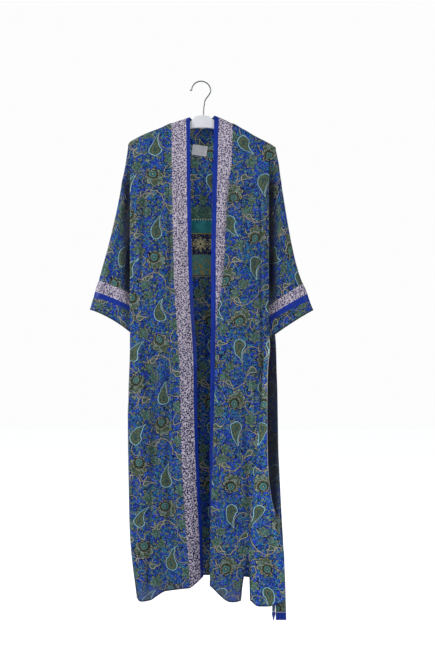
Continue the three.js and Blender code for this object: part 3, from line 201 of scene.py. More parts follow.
SIDE = {
    "r": table(SIDE_COLS, [
        [-470, 199, -30, 199, -22, 150, -22, 150, 22, 199, 22, 199, 30, 3.5],
        [-740, 199, -30, 199, -22, 152, -22, 152, 22, 199, 22, 199, 30, 3.5],
        [-795, 200, -30, 201, -22, 172, -19, 172, 18, 201, 22, 200, 30, 3.2],
        [-850, 201, -30, 203, -22, 196, -11, 196, 9, 203, 21, 201, 30, 2.5],
        [-930, 202, -30, 204, -22, 205, -9, 205, 8, 204, 21, 202, 30, 2],
        [-1100, 199, -31, 202, -23, 203, -9, 203, 8, 202, 21, 199, 31, 2],
        [-1250, 196, -31, 199, -23, 200, -9, 200, 8, 199, 21, 196, 31, 2],
        [-1331, 190, -32, 193, -24, 194, -9, 194, 8, 193, 21, 190, 31, 2],
        [-1450, 174, -33, 178, -25, 180, -9, 180, 8, 179, 21, 176, 32, 2]]),
    "l": table(SIDE_COLS, [
        [-470, 190, -30, 190, -22, 150, -22, 150, 22, 200, 22, 200, 30, 3.5],
        [-600, 190, -30, 190, -22, 150, -22, 150, 22, 200, 22, 200, 30, 3.5],
        [-640, 190, -30, 190, -22, 150, -22, 150, 22, 202, 22, 202, 30, 2.5],
        [-690, 191, -30, 191, -22, 150, -22, 150, 22, 206, 22, 206, 30, 1.2],
        [-740, 193, -30, 193, -22, 151, -22, 151, 20, 210, 20, 210, 30, -14],
        [-795, 188, -30, 188, -22, 160, -21, 160, 8, 212, 12, 212, 30, -13],
        [-850, 186, -30, 186, -22, 163, -20, 163, -11, 213, -4, 213, 30, -15],
        [-930, 186, -30, 186, -22, 165, -20, 165, -12, 214.5, -8, 214.5, 30, -21],
        [-1020, 187, -30, 187, -22, 167, -20, 167, -12, 216, -8, 216, 31, -29],
        [-1100, 189.5, -30, 189.5, -22, 171, -20, 171, -12, 218, -8, 218, 31, -38],
        [-1160, 197, -31, 197, -22, 183, -20, 183, -12, 219, -8, 219, 31, -50],
        [-1215, 208, -31, 208, -22, 201, -20, 201, -12, 220, -8, 220, 31, -65],
        [-1270, 218, -31, 222.5, -25, 223.5, -18, 223.5, -10, 223.5, 6, 221, 31, -79],
        [-1331, 227, -31, 232, -26, 233, -18, 233, -8, 233, 8, 230, 32, -93],
        [-1450, 228, -32, 233.5, -27, 234.5, -18, 234.5, -8, 234.5, 9, 231, 33, -96]]),
}
HEM = {
    "r": table(
        ["out", "z"],
        [
            [-6, -1385], [12, -1403], [25, -1414], [40, -1422], [74, -1422], [94, -1425], [108, -1430],
            [125, -1441], [142, -1452], [168, -1456], [179, -1449]
        ]
    ),
    "l": table(
        ["out", "z"],
        [
            [24, -1411], [41, -1426], [55, -1441], [70, -1453], [84, -1458], [98, -1457], [118, -1452],
            [141, -1452], [153, -1466], [171, -1471], [195, -1468], [233, -1458]
        ]
    ),
    "back": table(
        ["x", "z"],
        [[-180, -1425], [-150, -1396], [-60, -1382], [60, -1381], [140, -1388], [190, -1410], [231, -1440]]
    ),
}
SLIT = table(["z", "frontL", "backL", "both"], [[-1331, 0, 0, 0], [-1390, -14, 2.5, 1.5], [-1452, -20, 5, 4]])
CUFF = {
    "r": [
        [287, -556, 158, -612, 3], [296.5, -587, 159, -648, 4], [300.5, -602, 160, -664, 5],
        [311, -638, 163, -733, 12]
    ],
    "l": [
        [287, -565, 158, -652, 3], [297.5, -594, 159, -680, 5], [303.5, -613, 160, -694, 6],
        [314, -639.5, 163, -742, 5]
    ],
}
print("tables for", len(SHOULDER) + len(OUTER) + len(BAND) + len(SIDE), "outlines")

# %% [markdown]
# ## Folds in plan
# Seen from above, the side of a hung garment is a folded line: the face, a ridge, a tuck and the
# back. Each level of the cloth is such a polygon with rounded corners, and points are laid along
# it closer together where it bends.

# %% Rounded plans
def rounded(corners):
    pts, at = [tuple(corners[0][:2])], [0]
    for a, b, c in zip(corners, corners[1:], corners[2:]):
        la, lc = math.dist(a[:2], b[:2]), math.dist(b[:2], c[:2])
        cos = clamp(((b[0] - a[0]) * (c[0] - b[0]) + (b[1] - a[1]) * (c[1] - b[1])) / (la * lc), -1, 1)
        t = min(b[2] * max(math.tan(math.acos(cos) / 2), 0.05), 0.49 * la, 0.49 * lc)
        s = [lerp(b[k], a[k], t / la) for k in (0, 1)]
        e = [lerp(b[k], c[k], t / lc) for k in (0, 1)]
        for u in np.linspace(0, 1, 9):
            pts.append(tuple((1 - u) ** 2 * s[k] + 2 * u * (1 - u) * b[k] + u * u * e[k] for k in (0, 1)))
        at.append(len(pts) - 5)
    pts.append(tuple(corners[-1][:2]))
    at.append(len(pts) - 1)
    xy = np.array(pts, float)
    s = np.concatenate([[0], np.cumsum(np.linalg.norm(np.diff(xy, axis=0), axis=1))])
    return SimpleNamespace(xy=xy, s=s, corner=[s[i] for i in at], length=s[-1])


def on_path(p, s):
    return np.stack([np.interp(s, p.s, p.xy[:, 0]), np.interp(s, p.s, p.xy[:, 1])], -1)


def spread(p, a, b, n, bend):
    s = np.linspace(a, b, 241)
    d = on_path(p, s + 0.7) - on_path(p, s - 0.7)
    turn = np.abs(np.diff(np.unwrap(np.arctan2(d[:, 1], d[:, 0]))))
    weight = np.concatenate([[0], np.cumsum(abs(b - a) / 240 + bend * turn)])
    return np.interp(np.linspace(0, weight[-1], n + 1), weight, s)


# The long soft folds: place at the top, height where it starts, place at the hem, height, width.
FOLDS = {
    "front": [[-168, -420, -160, -5.5, 15], [-118, -620, -128, -4.5, 13], [-92, -300, -70, 3.2, 20], [-140,
        -900, -100, 4, 13],
              [112, -260, 96, -5, 17], [150, -420, 152, -5, 12], [70, -700, 60, -3.5, 12], [131, -820, 190,
                  3.6, 13]],
    "back": [
        [-120, -300, -140, 5, 20], [-40, -420, -55, 6, 22], [45, -260, 40, 5.5, 20], [120, -400, 130, 6, 22],
        [0, -700, -5, -4, 16], [85, -800, 90, -4, 15]
    ],
}


def folds(rows, x, z):
    total = 0
    for x0, z0, x1, height, width in rows:
        t = clamp((z0 - z) / (z0 + 1440), 0, 1)
        total += height * ease(t * 2.6) * math.exp(-(((x - lerp(x0, x1, t)) / width) ** 2))
    return total


print("plans are rounded and spread over their columns")


# %% [markdown]
# ## Rows of the body
# The rows that run around the body, and where the armhole and the slit fall among them.

# %% Rows of the body
LEVEL = [
    SLIT_Z, -1270, -1215, -1160, -1100, -1020, -930, -850, -795, -740, -690, -640, -600, -535, ARMPIT_Z, -430,
    -385, -342, -303, -292, -260, BASE_Z
]
ROWS = ([SimpleNamespace(hem=h, z=None, top=0, roll=1) for h in (1, 0.62, 0.28)]
        + [SimpleNamespace(hem=None, z=z, top=0, roll=1) for z in LEVEL]
        + [SimpleNamespace(hem=None, z=None, top=f, roll=r) for f, r in zip((0.35, 0.68, 0.88, 0.96, 1), (1,
            1, 0.9, 0.62, 0))])
N_SLIT, N_ARM = 3, 3 + LEVEL.index(ARMPIT_Z)
N_CUFFTOP, N_BASE = 3 + LEVEL.index(-292), 3 + LEVEL.index(BASE_Z)
MAIN_N, TAIL_N, HEAD_N, BACK_N, SHEET_N = {"r": 6, "l": 5}, 9, 9, 14, 5


def nominal(row):
    return lerp(SLIT_Z, -1450, row.hem) if row.hem is not None else row.z if row.z is not None else BASE_Z


def side_plan(s, z):
    if z > ARMPIT_Z + 1:
        a = ARM[s]
        ridge, valley, top, back, out = a.ridge(z), a.valley(z), a.top(z), a.back(z), a.out(z)
        mid, far = (back + out) / 2, ridge + (9 if s == "l" else 0)
        edge, r = OUTER[s].out(z), out * 0.95
        return SimpleNamespace(
            whole=None,
            front=rounded(
                [
                    [100, DEPTH.front(z), 0], [ridge, -top, 6], [ridge, -back, 6], [valley, -back, 6],
                    [valley, -mid, 0]
                ]
            ),
            rear=rounded(
                [[valley, mid, 0], [valley, back, 6], [far, back, 6], [far, top, 6], [100, DEPTH.back(z), 0]]
            ),
            arm=[rounded([[valley, k * mid, 0], [valley, k * out, 5], [edge, k * out, r], [edge,
                k * SEAM / 2, 0]]) for k in (-1, 1)])
    t = SIDE[s]
    c = [[getattr(t, f"o{k}")(z), getattr(t, f"y{k}")(z), 7] for k in range(1, 7)]
    whole = rounded([[100, DEPTH.front(z), 0], *c, [100, DEPTH.back(z), 0]])
    k = t.seam(z)
    at = whole.corner[1] + min(k, 0) if k < 1 else lerp(
        whole.corner[int(k)], whole.corner[int(k) + 1], k - int(k)
    )
    return SimpleNamespace(whole=whole, at=at)


def armhole(s, z):
    return lerp(OUTER[s].out(-303) - 7, ARM[s].valley(ARMPIT_Z) + 20, (-303 - z) / (-303 - ARMPIT_Z))


def armpit_edge(s, sign):
    v = ARM[s].valley(ARMPIT_Z)
    p = rounded([[v, sign * 17, 0], [v, sign * 12, 5], [v + 20, sign * 12, 0]])
    return on_path(p, spread(p, 0, p.length, SHEET_N, 6))


def arm_points(s, path, z):
    s_all = np.arange(0, path.length, 0.25)
    to = path.length if z >= -292 else s_all[on_path(path, s_all)[:, 0] <= armhole(s, z)][-1]
    return on_path(path, spread(path, 0, to, SHEET_N, 12))


print(len(LEVEL), "levels, armhole at row", N_ARM, "and slit at row", N_SLIT)


# %% [markdown]
# ## The front panels
# A front is one width of cloth with a printed band and a plain edge strip sewn to it. On the
# viewer's right the panel folds over its own band. Its columns run from the band's edge over the
# face, round the side tuck and, above the armpit, out along the drop shoulder.

# %% Front grid
def front_row(s, row, i):
    sign = -1 if s == "r" else 1
    zn = nominal(row)
    z_band = lerp(BASE_Z, -110, row.top) if row.top else zn
    face = DEPTH.front(lerp(BASE_Z, -130, row.top) if row.top else zn)
    inner = BAND[s].inner(z_band)
    pts = []
    if s == "r":
        turn = math.radians(BAND[s].turn(z_band))
        width = BAND_W * math.cos(turn * 0.86)
        for l in (0, BLUE_W, BLUE_W + PRINT_W / 2, BAND_W):
            u = 1 - l / BAND_W
            pts.append(
                [
                    inner + width * (1 - u) - width * 0.06 * math.sin(math.pi * u),
                    face + BAND_W * math.sin(turn) * (u * 0.6 + u * u * 0.4), -1
                ]
            )
        pts += [[lerp(inner + width, 100, 0.5), face, -1], [100, face, -1]]
    else:
        lap = BAND[s].lap(z_band)
        opened = ease((lap - 1) / 6)
        base = face + 8 * opened
        pts = [[inner + l, base, -1] for l in (0, BLUE_W, BLUE_W + PRINT_W / 2, BAND_W)]
        so = inner + BAND_W
        edge = so - lap
        folded = rounded(
            [
                [so, base, 0], [so + 3.2, base, 3], [so + 3.2, base - 4, 3], [edge, base - 4, 3],
                [edge, base - 8, 3], [max(edge, so) + 14, base - 8, 0]
            ]
        )
        plain = np.linspace([so, base], [so + 24, base], 10)
        lapped = on_path(folded, spread(folded, 0, folded.length, 9, 9))
        pts += [[*lerp(q, p, opened), -1] for q, p in zip(plain[1:], lapped[1:])]
        pts.append([100 + (pts[-1][0] - 100) * 0.3, face, -1])
    if row.top:
        return pts
    plan = side_plan(s, zn)
    path = plan.whole or plan.front
    if plan.whole:
        stop = plan.at + (0 if row.hem is None else SLIT.frontL(zn) if s == "l" else -SLIT.both(zn))
        first = max(min(path.corner[1] - 16, stop - 14) - 8, 8)
    else:
        stop, first = path.length, path.corner[1] - 16
    start, n = max(0, pts[-1][0] - 100), MAIN_N[s]
    ls = [
        lerp(start, first, k / (n + 0.4)) for k in range(1, n + 1)
    ] + list(spread(path, first, stop, TAIL_N, 16)[1:])
    pts += [[*on_path(path, l), l] for l in ls]
    for p in pts:
        fade = 1 if p[2] < 0 else 1 - ease((p[2] - path.corner[1] + 34) / 30)
        p[1] += folds(FOLDS["front"], sign * p[0], zn) * fade
    if not plan.whole:
        pts += [[*q, 0] for q in arm_points(s, plan.arm[0], zn)[1:]]
    elif i == N_ARM:
        pts += [[*q, 0] for q in armpit_edge(s, -1)[1:]]
    else:
        pts += [[np.nan] * 3] * SHEET_N
    return pts


def front_grid(s):
    sign, tip = (-1, 204) if s == "r" else (1, 209)
    base = front_row(s, ROWS[N_BASE], N_BASE)
    last, grid = len(base) - 1, []
    for i, row in enumerate(ROWS):
        pts = front_row(s, row, i)
        if not row.top:
            grid.append(
                [
                    [
                        sign * p[0], p[1], row.z if row.hem is None else lerp(SLIT_Z, HEM[s].z(p[0]), row.hem)
                    ] for p in pts
                ]
            )
            continue
        g, face = min(1, row.top * 1.12), DEPTH.front(lerp(BASE_Z, -130, row.top))
        out = []
        for k, p in enumerate(base):
            if k < 4:
                x, y = pts[k][:2]
            else:
                u = (k - 3) / (last - 3)
                x = lerp(p[0], lerp(pts[3][0], tip, 1 - (1 - u) ** 1.45), g)
                y = lerp(p[1], -SEAM / 2 if k == last else face, g)
            out.append([sign * x, min(-SEAM / 2, y * row.roll), lerp(BASE_Z, SHOULDER[s].z(x), row.top)])
        grid.append(out)
    return np.array(grid, float)


coarse = {s: front_grid(s) for s in "rl"}
print("front grids", coarse["r"].shape, coarse["l"].shape)

# %% [markdown]
# ## The back panel
# The back runs from one side seam to the other, with the drop shoulders outside both. A fourth
# number at each point says how far it is from the right-hand fold, where the cloth's pale selvedge
# shows as a thin line.

# %% Back grid
NECK_L, NECK_R, NECK_LOW = -80, 85.5, -184
BACK_X = [-176, -144, -112, -80, -66, -46, -22, 2.75, 27.5, 51.5, 71.5, 85.5, 115, 147, 178]
FAR = 99.0


def neck_dip(x):
    return math.sqrt(max(0, 1 - ((x - (NECK_L + NECK_R) / 2) / ((NECK_R - NECK_L) / 2)) ** 2))


def back_side(s, row, i):
    zn = nominal(row)
    plan = side_plan(s, zn)
    if not plan.whole:
        pts = [
            [*p, 1, FAR] for p in on_path(
                plan.rear, spread(plan.rear, 0, plan.rear.corner[3] + 14, HEAD_N, 16)
            )
        ]
        return pts, [[*p, 1, FAR] for p in arm_points(s, plan.arm[1], zn)[1:]]
    w = plan.whole
    start = plan.at + (0 if row.hem is None else SLIT.backL(zn) if s == "l" else SLIT.both(zn))
    ls = spread(w, start, w.corner[6] + 14, HEAD_N, 16)
    pts = [[*on_path(w, l), l - w.corner[1] if l < w.corner[1] else 1, l - w.corner[1]] for l in ls]
    arm = [[np.nan] * 4] * SHEET_N
    if i == N_ARM:
        arm = [[*p, 1, FAR] for p in armpit_edge(s, 1)[1:]]
        up = rounded(
            [
                [ARM[s].valley(zn), 17, 0], [ARM[s].valley(zn), 22, 6], [SIDE[s].o5(zn), 22, 6],
                [SIDE[s].o6(zn), 30, 6], [100, DEPTH.back(zn), 0]
            ]
        )
        pts = [[*p, 1, FAR] for p in on_path(up, spread(up, 0, up.corner[3] + 14, HEAD_N, 16))]
    return pts, arm


def back_row(row, i):
    zn = nominal(row)
    (rp, ra), (lp, la) = back_side("r", row, i), back_side("l", row, i)
    xr, xl = -rp[-1][0], lp[-1][0]

    def hem(x):
        return zn if row.hem is None else lerp(SLIT_Z, HEM["back"].z(x), row.hem)

    def hem_side(s, p):
        if row.hem is None:
            return zn
        front, back = HEM[s].z(p[0]), HEM["back"].z((-1 if s == "r" else 1) * p[0])
        return lerp(SLIT_Z, lerp(front, back, ease((p[1] + 30) / 60)), row.hem)

    out = [[-p[0], p[1], zn, FAR] for p in reversed(ra)]
    out += [[-p[0], p[1], hem_side("r", p), FAR] for p in rp]
    for x in BACK_X:
        u = (x - BACK_X[0]) / (BACK_X[-1] - BACK_X[0])
        px = lerp(lerp(xr, xl, (u * BACK_N + 0.6) / (BACK_N + 1.2)), clamp(x, xr + 5, xl - 5), 0.8)
        out.append([px, DEPTH.back(zn) + folds(FOLDS["back"], px, zn), hem(px), FAR])
    for p in reversed(lp):
        fade = 1 - ease((p[2] + 34) / 30) if p[2] < 0 else 0
        out.append([p[0], p[1] + folds(FOLDS["front"], p[0], zn) * fade, hem_side("l", p), p[3]])
    out += [[p[0], p[1], zn, FAR] for p in la]
    return out


def back_grid():
    level = {i: back_row(row, i) for i, row in enumerate(ROWS) if not row.top}
    base, grid = level[N_BASE], []
    m0 = SHEET_N + HEAD_N + 1
    m1, last = m0 + BACK_N, len(base) - 1
    for i, row in enumerate(ROWS):
        if not row.top:
            grid.append(level[i])
            continue
        g, deep, out = min(1, row.top * 1.12), DEPTH.back(lerp(BASE_Z, -130, row.top)), []
        for k, p in enumerate(base):
            if m0 <= k <= m1:
                x = BACK_X[k - m0]
            elif k < m0:
                x = -lerp(-BACK_X[0], 204, 1 - (1 - (m0 - k) / m0) ** 1.3)
            else:
                x = lerp(BACK_X[-1], 209, 1 - (1 - (k - m1) / (last - m1)) ** 1.3)
            x = lerp(p[0], x, g)
            y, dip = lerp(p[1], SEAM / 2 if k in (0, last) else deep, g), neck_dip(x)
            if NECK_L < x < NECK_R:
                ends = lerp(
                    SHOULDER["r"].z(-NECK_L), SHOULDER["l"].z(NECK_R), (x - NECK_L) / (NECK_R - NECK_L)
                )
                z = lerp(BASE_Z, lerp(ends, NECK_LOW, dip), row.top)
                y = lerp(p[1], max(SEAM / 2, 26 * dip**0.8), ease(row.top))
                y = lerp(y, max(SEAM / 2, deep * row.roll), (1 - clamp(dip * 1.6, 0, 1)) * row.top)
            else:
                z = lerp(BASE_Z, SHOULDER["r" if k <= m0 + 6 else "l"].z(abs(x)), row.top)
                y = max(SEAM / 2, y * row.roll)
            out.append([x, y, z, FAR])
        grid.append(out)
    return np.array(grid, float)


coarse["back"] = back_grid()
print("back grid", coarse["back"].shape)

# %% [markdown]
# ## The sleeves
# Each sleeve is a flat tube: a loop of points that starts at the armhole and ends at the cuff.

# %% Sleeve grid
TUBE_Q = [0, 0.05, 0.13, 0.34, 0.56, 0.77, 0.94, 0.975, 1]
TUBE_Y = [0, 0.62, 0.88, 1, 1, 0.98, 0.84, 0.55, 0]


def sleeve_grid(s):
    sign, lines, v = (-1 if s == "r" else 1), CUFF[s], ARM[s].valley(ARMPIT_Z)
    start = [[152, 0, -531], [v + 2.5, 13.5, ARMPIT_Z - 2], [v + 20, 12, ARMPIT_Z]]
    start += [
        [armhole(s, z), ARM[s].out(z) * k, z] for z, k in ((-430, 1), (-385, 1), (-342, 1), (-303, 0.98))
    ]
    start += [None, [OUTER[s].out(-292), 0, -292]]
    start[7] = [lerp(start[6][0], start[8][0], 0.5), start[6][1] / 2, -297.5]

    def line(k, q):
        xo, zo, xi, zi, bow = lines[k]
        return lerp(xi, xo, q), lerp(zi, zo, q) + bow * 4 * q * (1 - q)

    grid = []
    for k, t in [
        (-1, t) for t in (0, 0.1, 0.28, 0.46, 0.64, 0.82, 1)
    ] + [(0, 0.5), (0, 1), (1, 1), (2, 0.5), (2, 1)]:
        side = []
        for j, p in enumerate(start):
            q = TUBE_Q[j]
            if k < 0:
                e = line(0, q)
                x, z = lerp(p[0], e[0], t), lerp(p[2], e[1], t)
                if j == 0:
                    x += 5 * math.sin(math.pi * min(1, t * 2.2) / 2)
                if j >= 3:
                    x += (
                        OUTER[s].out(lerp(-292, lines[0][1], t)) - lerp(OUTER[s].out(-292), lines[0][0], t)
                    ) * ((q - 0.13) / 0.87)
                y = lerp(p[1], 9.2 * TUBE_Y[j], ease(min(1, t * 2)))
                side.append([x, y + 2.2 * math.sin(q * 14 + 0.6) * math.sin(math.pi * t) * TUBE_Y[j], z])
            else:
                a, b = line(k, q), line(k + 1, q)
                side.append([lerp(a[0], b[0], t), (9.2 + 1.2 * (k + t)) * TUBE_Y[j], lerp(a[1], b[1], t)])
        grid.append([[sign * x, -y, z] for x, y, z in side] + [[sign * x, y, z] for x, y, z in side[-2:0:-1]])
    return np.array(grid, float)


coarse["sleeve_r"], coarse["sleeve_l"] = sleeve_grid("r"), sleeve_grid("l")
print("sleeve grid", coarse["sleeve_r"].shape)

# %% [markdown]
# ## From a coarse grid to cloth
# A cubic through the coarse points keeps the cloth on the frame's form. Positions follow the cubic
# and the other numbers follow straight lines. Extra rows are asked for where a hem is stitched.

# %% Refining
def densify(t, step, extra):
    parts = [np.linspace(a, b, max(1, math.ceil((b - a) / step)) + 1)[:-1] for a, b in zip(t, t[1:])]
    return np.unique(np.concatenate([*parts, [t[-1]], [e if e >= 0 else t[-1] + e for e in extra]]).round(5))


def cubic(t, p, want, calm=False):
    """A cubic through the points; a calm one never swings past them."""
    h, d = np.diff(t), np.diff(p, axis=0)
    h = h.reshape(-1, *[1] * (p.ndim - 1))
    d = d / h
    m = (h[1:] * d[:-1] + h[:-1] * d[1:]) / (h[1:] + h[:-1])
    if calm:
        least = 1.6 * np.minimum(abs(d[:-1]), abs(d[1:]))
        m = np.where(d[:-1] * d[1:] <= 0, 0, np.clip(m, -least, least))
    m = np.concatenate([d[:1], m, d[-1:]])
    i = np.clip(np.searchsorted(t, want, side="right") - 1, 0, len(t) - 2)
    hh = h[i]
    u = ((want - t[i]) / (t[i + 1] - t[i])).reshape(hh.shape)
    out = ((2 * u**3 - 3 * u * u + 1) * p[i] + (u**3 - 2 * u * u + u) * hh * m[i]
           + (3 * u * u - 2 * u**3) * p[i + 1] + (u**3 - u * u) * hh * m[i + 1])
    out[..., 3:] = ((1 - u) * p[i] + u * p[i + 1])[..., 3:]
    return out


def refine(grid, row_t, rows, col_t, cols, calm=False):
    a = cubic(row_t, grid, rows, True)
    return cubic(col_t, a.transpose(1, 0, 2), cols, calm).transpose(1, 0, 2)


def lengths(grid, axis):
    d = np.linalg.norm(np.diff(grid[..., :3], axis=axis), axis=-1)
    return np.concatenate([[0], np.cumsum(np.nanmean(d, axis=1 - axis))])


def fine_columns(grid, wrap, step):
    if wrap:
        grid = np.concatenate([grid[:, -3:], grid, grid[:, :4]], axis=1)
    t = lengths(grid, 1)
    cols = densify(t, step, [])
    if wrap:
        keep = (cols >= t[3] - 1e-4) & (cols < t[-4] - 1e-4)
        return grid, t, cols[keep]
    return grid, t, cols


print("grids are refined through smooth curves")


# %% [markdown]
# ## Soft relief
# Silk is never quite flat. A slow noise drawn out along the fall of the cloth gives shallow flutes,
# a finer one gives the ripple between them, and a short list of creases gives the folds that catch
# the light. Relief moves points only towards or away from the viewer, and layers that lie on each
# other move together, so they can't pass through one another.

# %% Relief
def lattice(x, y, seed):
    xi, yi = np.floor(x).astype(np.int64), np.floor(y).astype(np.int64)
    fx, fy = x - xi, y - yi
    fx, fy = fx * fx * (3 - 2 * fx), fy * fy * (3 - 2 * fy)

    def value(a, b):
        n = (a * 374761393 + b * 668265263 + seed * 974711) & 0xFFFFFFFF
        n = ((n ^ (n >> 13)) * 1274126177) & 0xFFFFFFFF
        return ((n ^ (n >> 16)) & 0xFFFF) / 32767.5 - 1

    return ((value(xi, yi) * (1 - fx) + value(xi + 1, yi) * fx) * (1 - fy)
            + (value(xi, yi + 1) * (1 - fx) + value(xi + 1, yi + 1) * fx) * fy)


# x and z at the top, x and z at the foot, depth (negative: towards the viewer), width
CREASES = {
    "front": [[-150, -190, -186, -760, 2.6, 6], [-178, -240, -170, -1250, -2.4, 5], [-108, -170, -132, -900,
        1.8, 8],
              [-88, -170, -92, -1400, 2.4, 6], [
                  -128, -820, -150, -1440, 2.6, 6
              ], [-64, -900, -58, -1400, -1.6, 6],
              [
                  176, -230, 180, -700, -3, 4.5
              ], [166, -250, 170, -1080, 3, 4.5], [183, -420, 181, -900, 2, 3.5],
              [140, -200, 156, -1000, 2.2, 7], [104, -190, 128, -900, -1.8, 8], [86, -520, 92, -1400, 1.7, 7],
              [118, -900, 150, -1440, 2.4, 7], [190, -1170, 206, -1450, 2.2, 8], [64, -620, 70, -1430, -1.5,
                  6]],
    "back": [[-150, -230, -165, -1400, 2.4, 8], [-95, -260, -100, -1380, -2.2, 9], [-60, -330, -70, -1370, 2,
        8],
             [-18, -250, -24, -1370, -2, 7], [22, -300, 28, -1370, 2, 7], [62, -330, 72, -1380, -2, 9],
             [100, -270, 112, -1380, 2.4, 8], [146, -300, 160, -1400, -2.2, 7]],
}


def relief(x, z, kind):
    seed = 3 if kind == "front" else 11
    f = 2.1 * lattice(x / 21, z / 170, seed) + 0.9 * lattice(x / 9.5, z / 80, seed + 1) + 0.4 * lattice(
        x / 17 + z / 60, z / 19 - x / 90, seed + 2
    )
    for x0, z0, x1, z1, deep, width in CREASES[kind]:
        t = (z0 - z) / (z0 - z1)
        mid = x0 + (x1 - x0) * t + 2.5 * lattice(z / 90, 0 * z + x0, 5)
        f = f + 1.5 * deep * smooth(0, 0.16, t) * smooth(1.12, 0.8, t) * np.exp(-(((x - mid) / width) ** 2))
    return f * (0.3 + 0.7 * smooth(-140, -330, z))  # little room over the hanger's arms


def with_relief(p, sleeve=False):
    x, y, z = p[..., 0], p[..., 1], p[..., 2]
    side = smooth(2, 9, -y) * relief(x, z, "front") + smooth(2, 9, y) * np.minimum(relief(x, z, "back"), 2.0)
    if sleeve:
        side = side * 0.5 + np.sign(y) * smooth(2, 8, abs(y)) * (
            1.6 * lattice(
                (x + z * 0.35) / 26, (z - x * 0.2) / 70, 21
            ) + 0.8 * lattice((x + z * 0.2) / 10, z / 34, 22)
        )
    p[..., 1] = y + side
    return p


print(len(CREASES), "creases")


# %% [markdown]
# ## Writing a sheet
# Cloth is a thin closed shell: an outer and an inner layer a wall apart, joined round the edge.
# The last step puts each point where the eye expects it: layers further from the camera are made a
# little larger, as in the frame. The flat coordinates of the cloth become the UV map, so a print
# follows the folds as it does on real cloth.

# %% Shells
def place(p):
    k = (1 + p[..., 1] / 2600)[..., None]
    eye = np.array([46.0, 0, -685])
    q = eye + (p[..., :3] - eye) * k
    q[..., 1] = p[..., 1]
    return q / 1000


def neighbours(a, axis, step, wrap):
    b = np.roll(a, -step, axis)
    if not wrap:
        edge = [slice(None)] * a.ndim
        edge[axis] = -1 if step > 0 else 0
        b[tuple(edge)] = a[tuple(edge)]
    return np.where(np.isnan(b), a, b)


def grid_normals(p, wrap, level=None):
    p = p[..., :3]
    n = np.cross(
        neighbours(p, 1, 1, wrap) - neighbours(p, 1, -1, wrap),
        neighbours(p, 0, 1, False) - neighbours(p, 0, -1, False)
    )
    if level is not None:
        n[level, 1] = 0
    return n / np.maximum(np.linalg.norm(n, axis=-1, keepdims=True), 1e-9)


CREASE_ANGLE = 55  # degrees between two faces past which their edge is drawn sharp


def write_mesh(name, co, faces):
    me = bpy.data.meshes.new(name)
    me.from_pydata(co, [], faces)
    me.polygons.foreach_set("use_smooth", np.ones(len(me.polygons), bool))
    me.set_sharp_from_angle(angle=math.radians(CREASE_ANGLE))
    ob = bpy.data.objects.new(name, me)
    bpy.context.scene.collection.objects.link(ob)
    return ob


def numbers(me, name, values):
    me.attributes.new(name, "FLOAT", "POINT").data.foreach_set("value", values.astype(np.float32))


def shell(name, p, keep, normal, flat, extra, wall, wrap=False):
    """A closed sheet over the kept cells of a grid. wall may differ from point to point."""
    R, C = p.shape[:2]
    ids = np.arange(R * C).reshape(R, C)
    nxt = np.roll(ids, -1, 1)
    a, b = ids[:-1], nxt[:-1]
    c, d = nxt[1:], ids[1:]
    if not wrap:
        a, b, c, d = a[:, :-1], b[:, :-1], c[:, :-1], d[:, :-1]
    quads = np.stack([a, b, c, d], -1)[keep]
    edges = quads[:, [[0, 1], [1, 2], [2, 3], [3, 0]]].reshape(-1, 2)
    key, back = edges[:, 0] * (R * C) + edges[:, 1], edges[:, 1] * (R * C) + edges[:, 0]
    rim = edges[~np.isin(key, back)]
    used = np.unique(quads)
    new = np.full(R * C, -1)
    new[used] = np.arange(len(used))
    quads, rim, n = new[quads], new[rim], len(used)
    pts, nor = p.reshape(-1, p.shape[-1])[used, :3], normal.reshape(-1, 3)[used]
    half = (np.broadcast_to(wall, (R, C)).reshape(-1)[used] / 2)[:, None]
    co = np.concatenate([place(pts + nor * half), place(pts - nor * half)])
    faces = np.concatenate(
        [quads, quads[:, ::-1] + n, np.stack([rim[:, 1], rim[:, 0], rim[:, 0] + n, rim[:, 1] + n], -1)]
    )
    ob = write_mesh(name, co, faces.tolist())
    me = ob.data
    uv = np.tile(flat.reshape(-1, 2)[used] / 1000, (2, 1))
    loops = np.zeros(len(me.loops), np.int64)
    me.loops.foreach_get("vertex_index", loops)
    me.uv_layers.new(name="flat").data.foreach_set("uv", uv[loops].astype(np.float32).ravel())
    for key, values in extra.items():
        numbers(me, key, np.tile(values.reshape(-1)[used], 2))
    area = np.linalg.norm(
        np.cross(pts[quads[:, 2]] - pts[quads[:, 0]], pts[quads[:, 3]] - pts[quads[:, 1]]), axis=1
    ).sum() / 2e6
    print(f"{name}: {len(faces)} faces, {area:.3f} m2")
    return ob


# %% [markdown]
# ## Finishes as arithmetic
# A node material is a long sum. Writing it with plus and minus signs keeps it readable: `Value`
# wraps a socket, and each sign adds one node.

# %% Node arithmetic
BUMP_DEPTH, BUMP_STRENGTH = 0.0004, 0.6  # metres, share


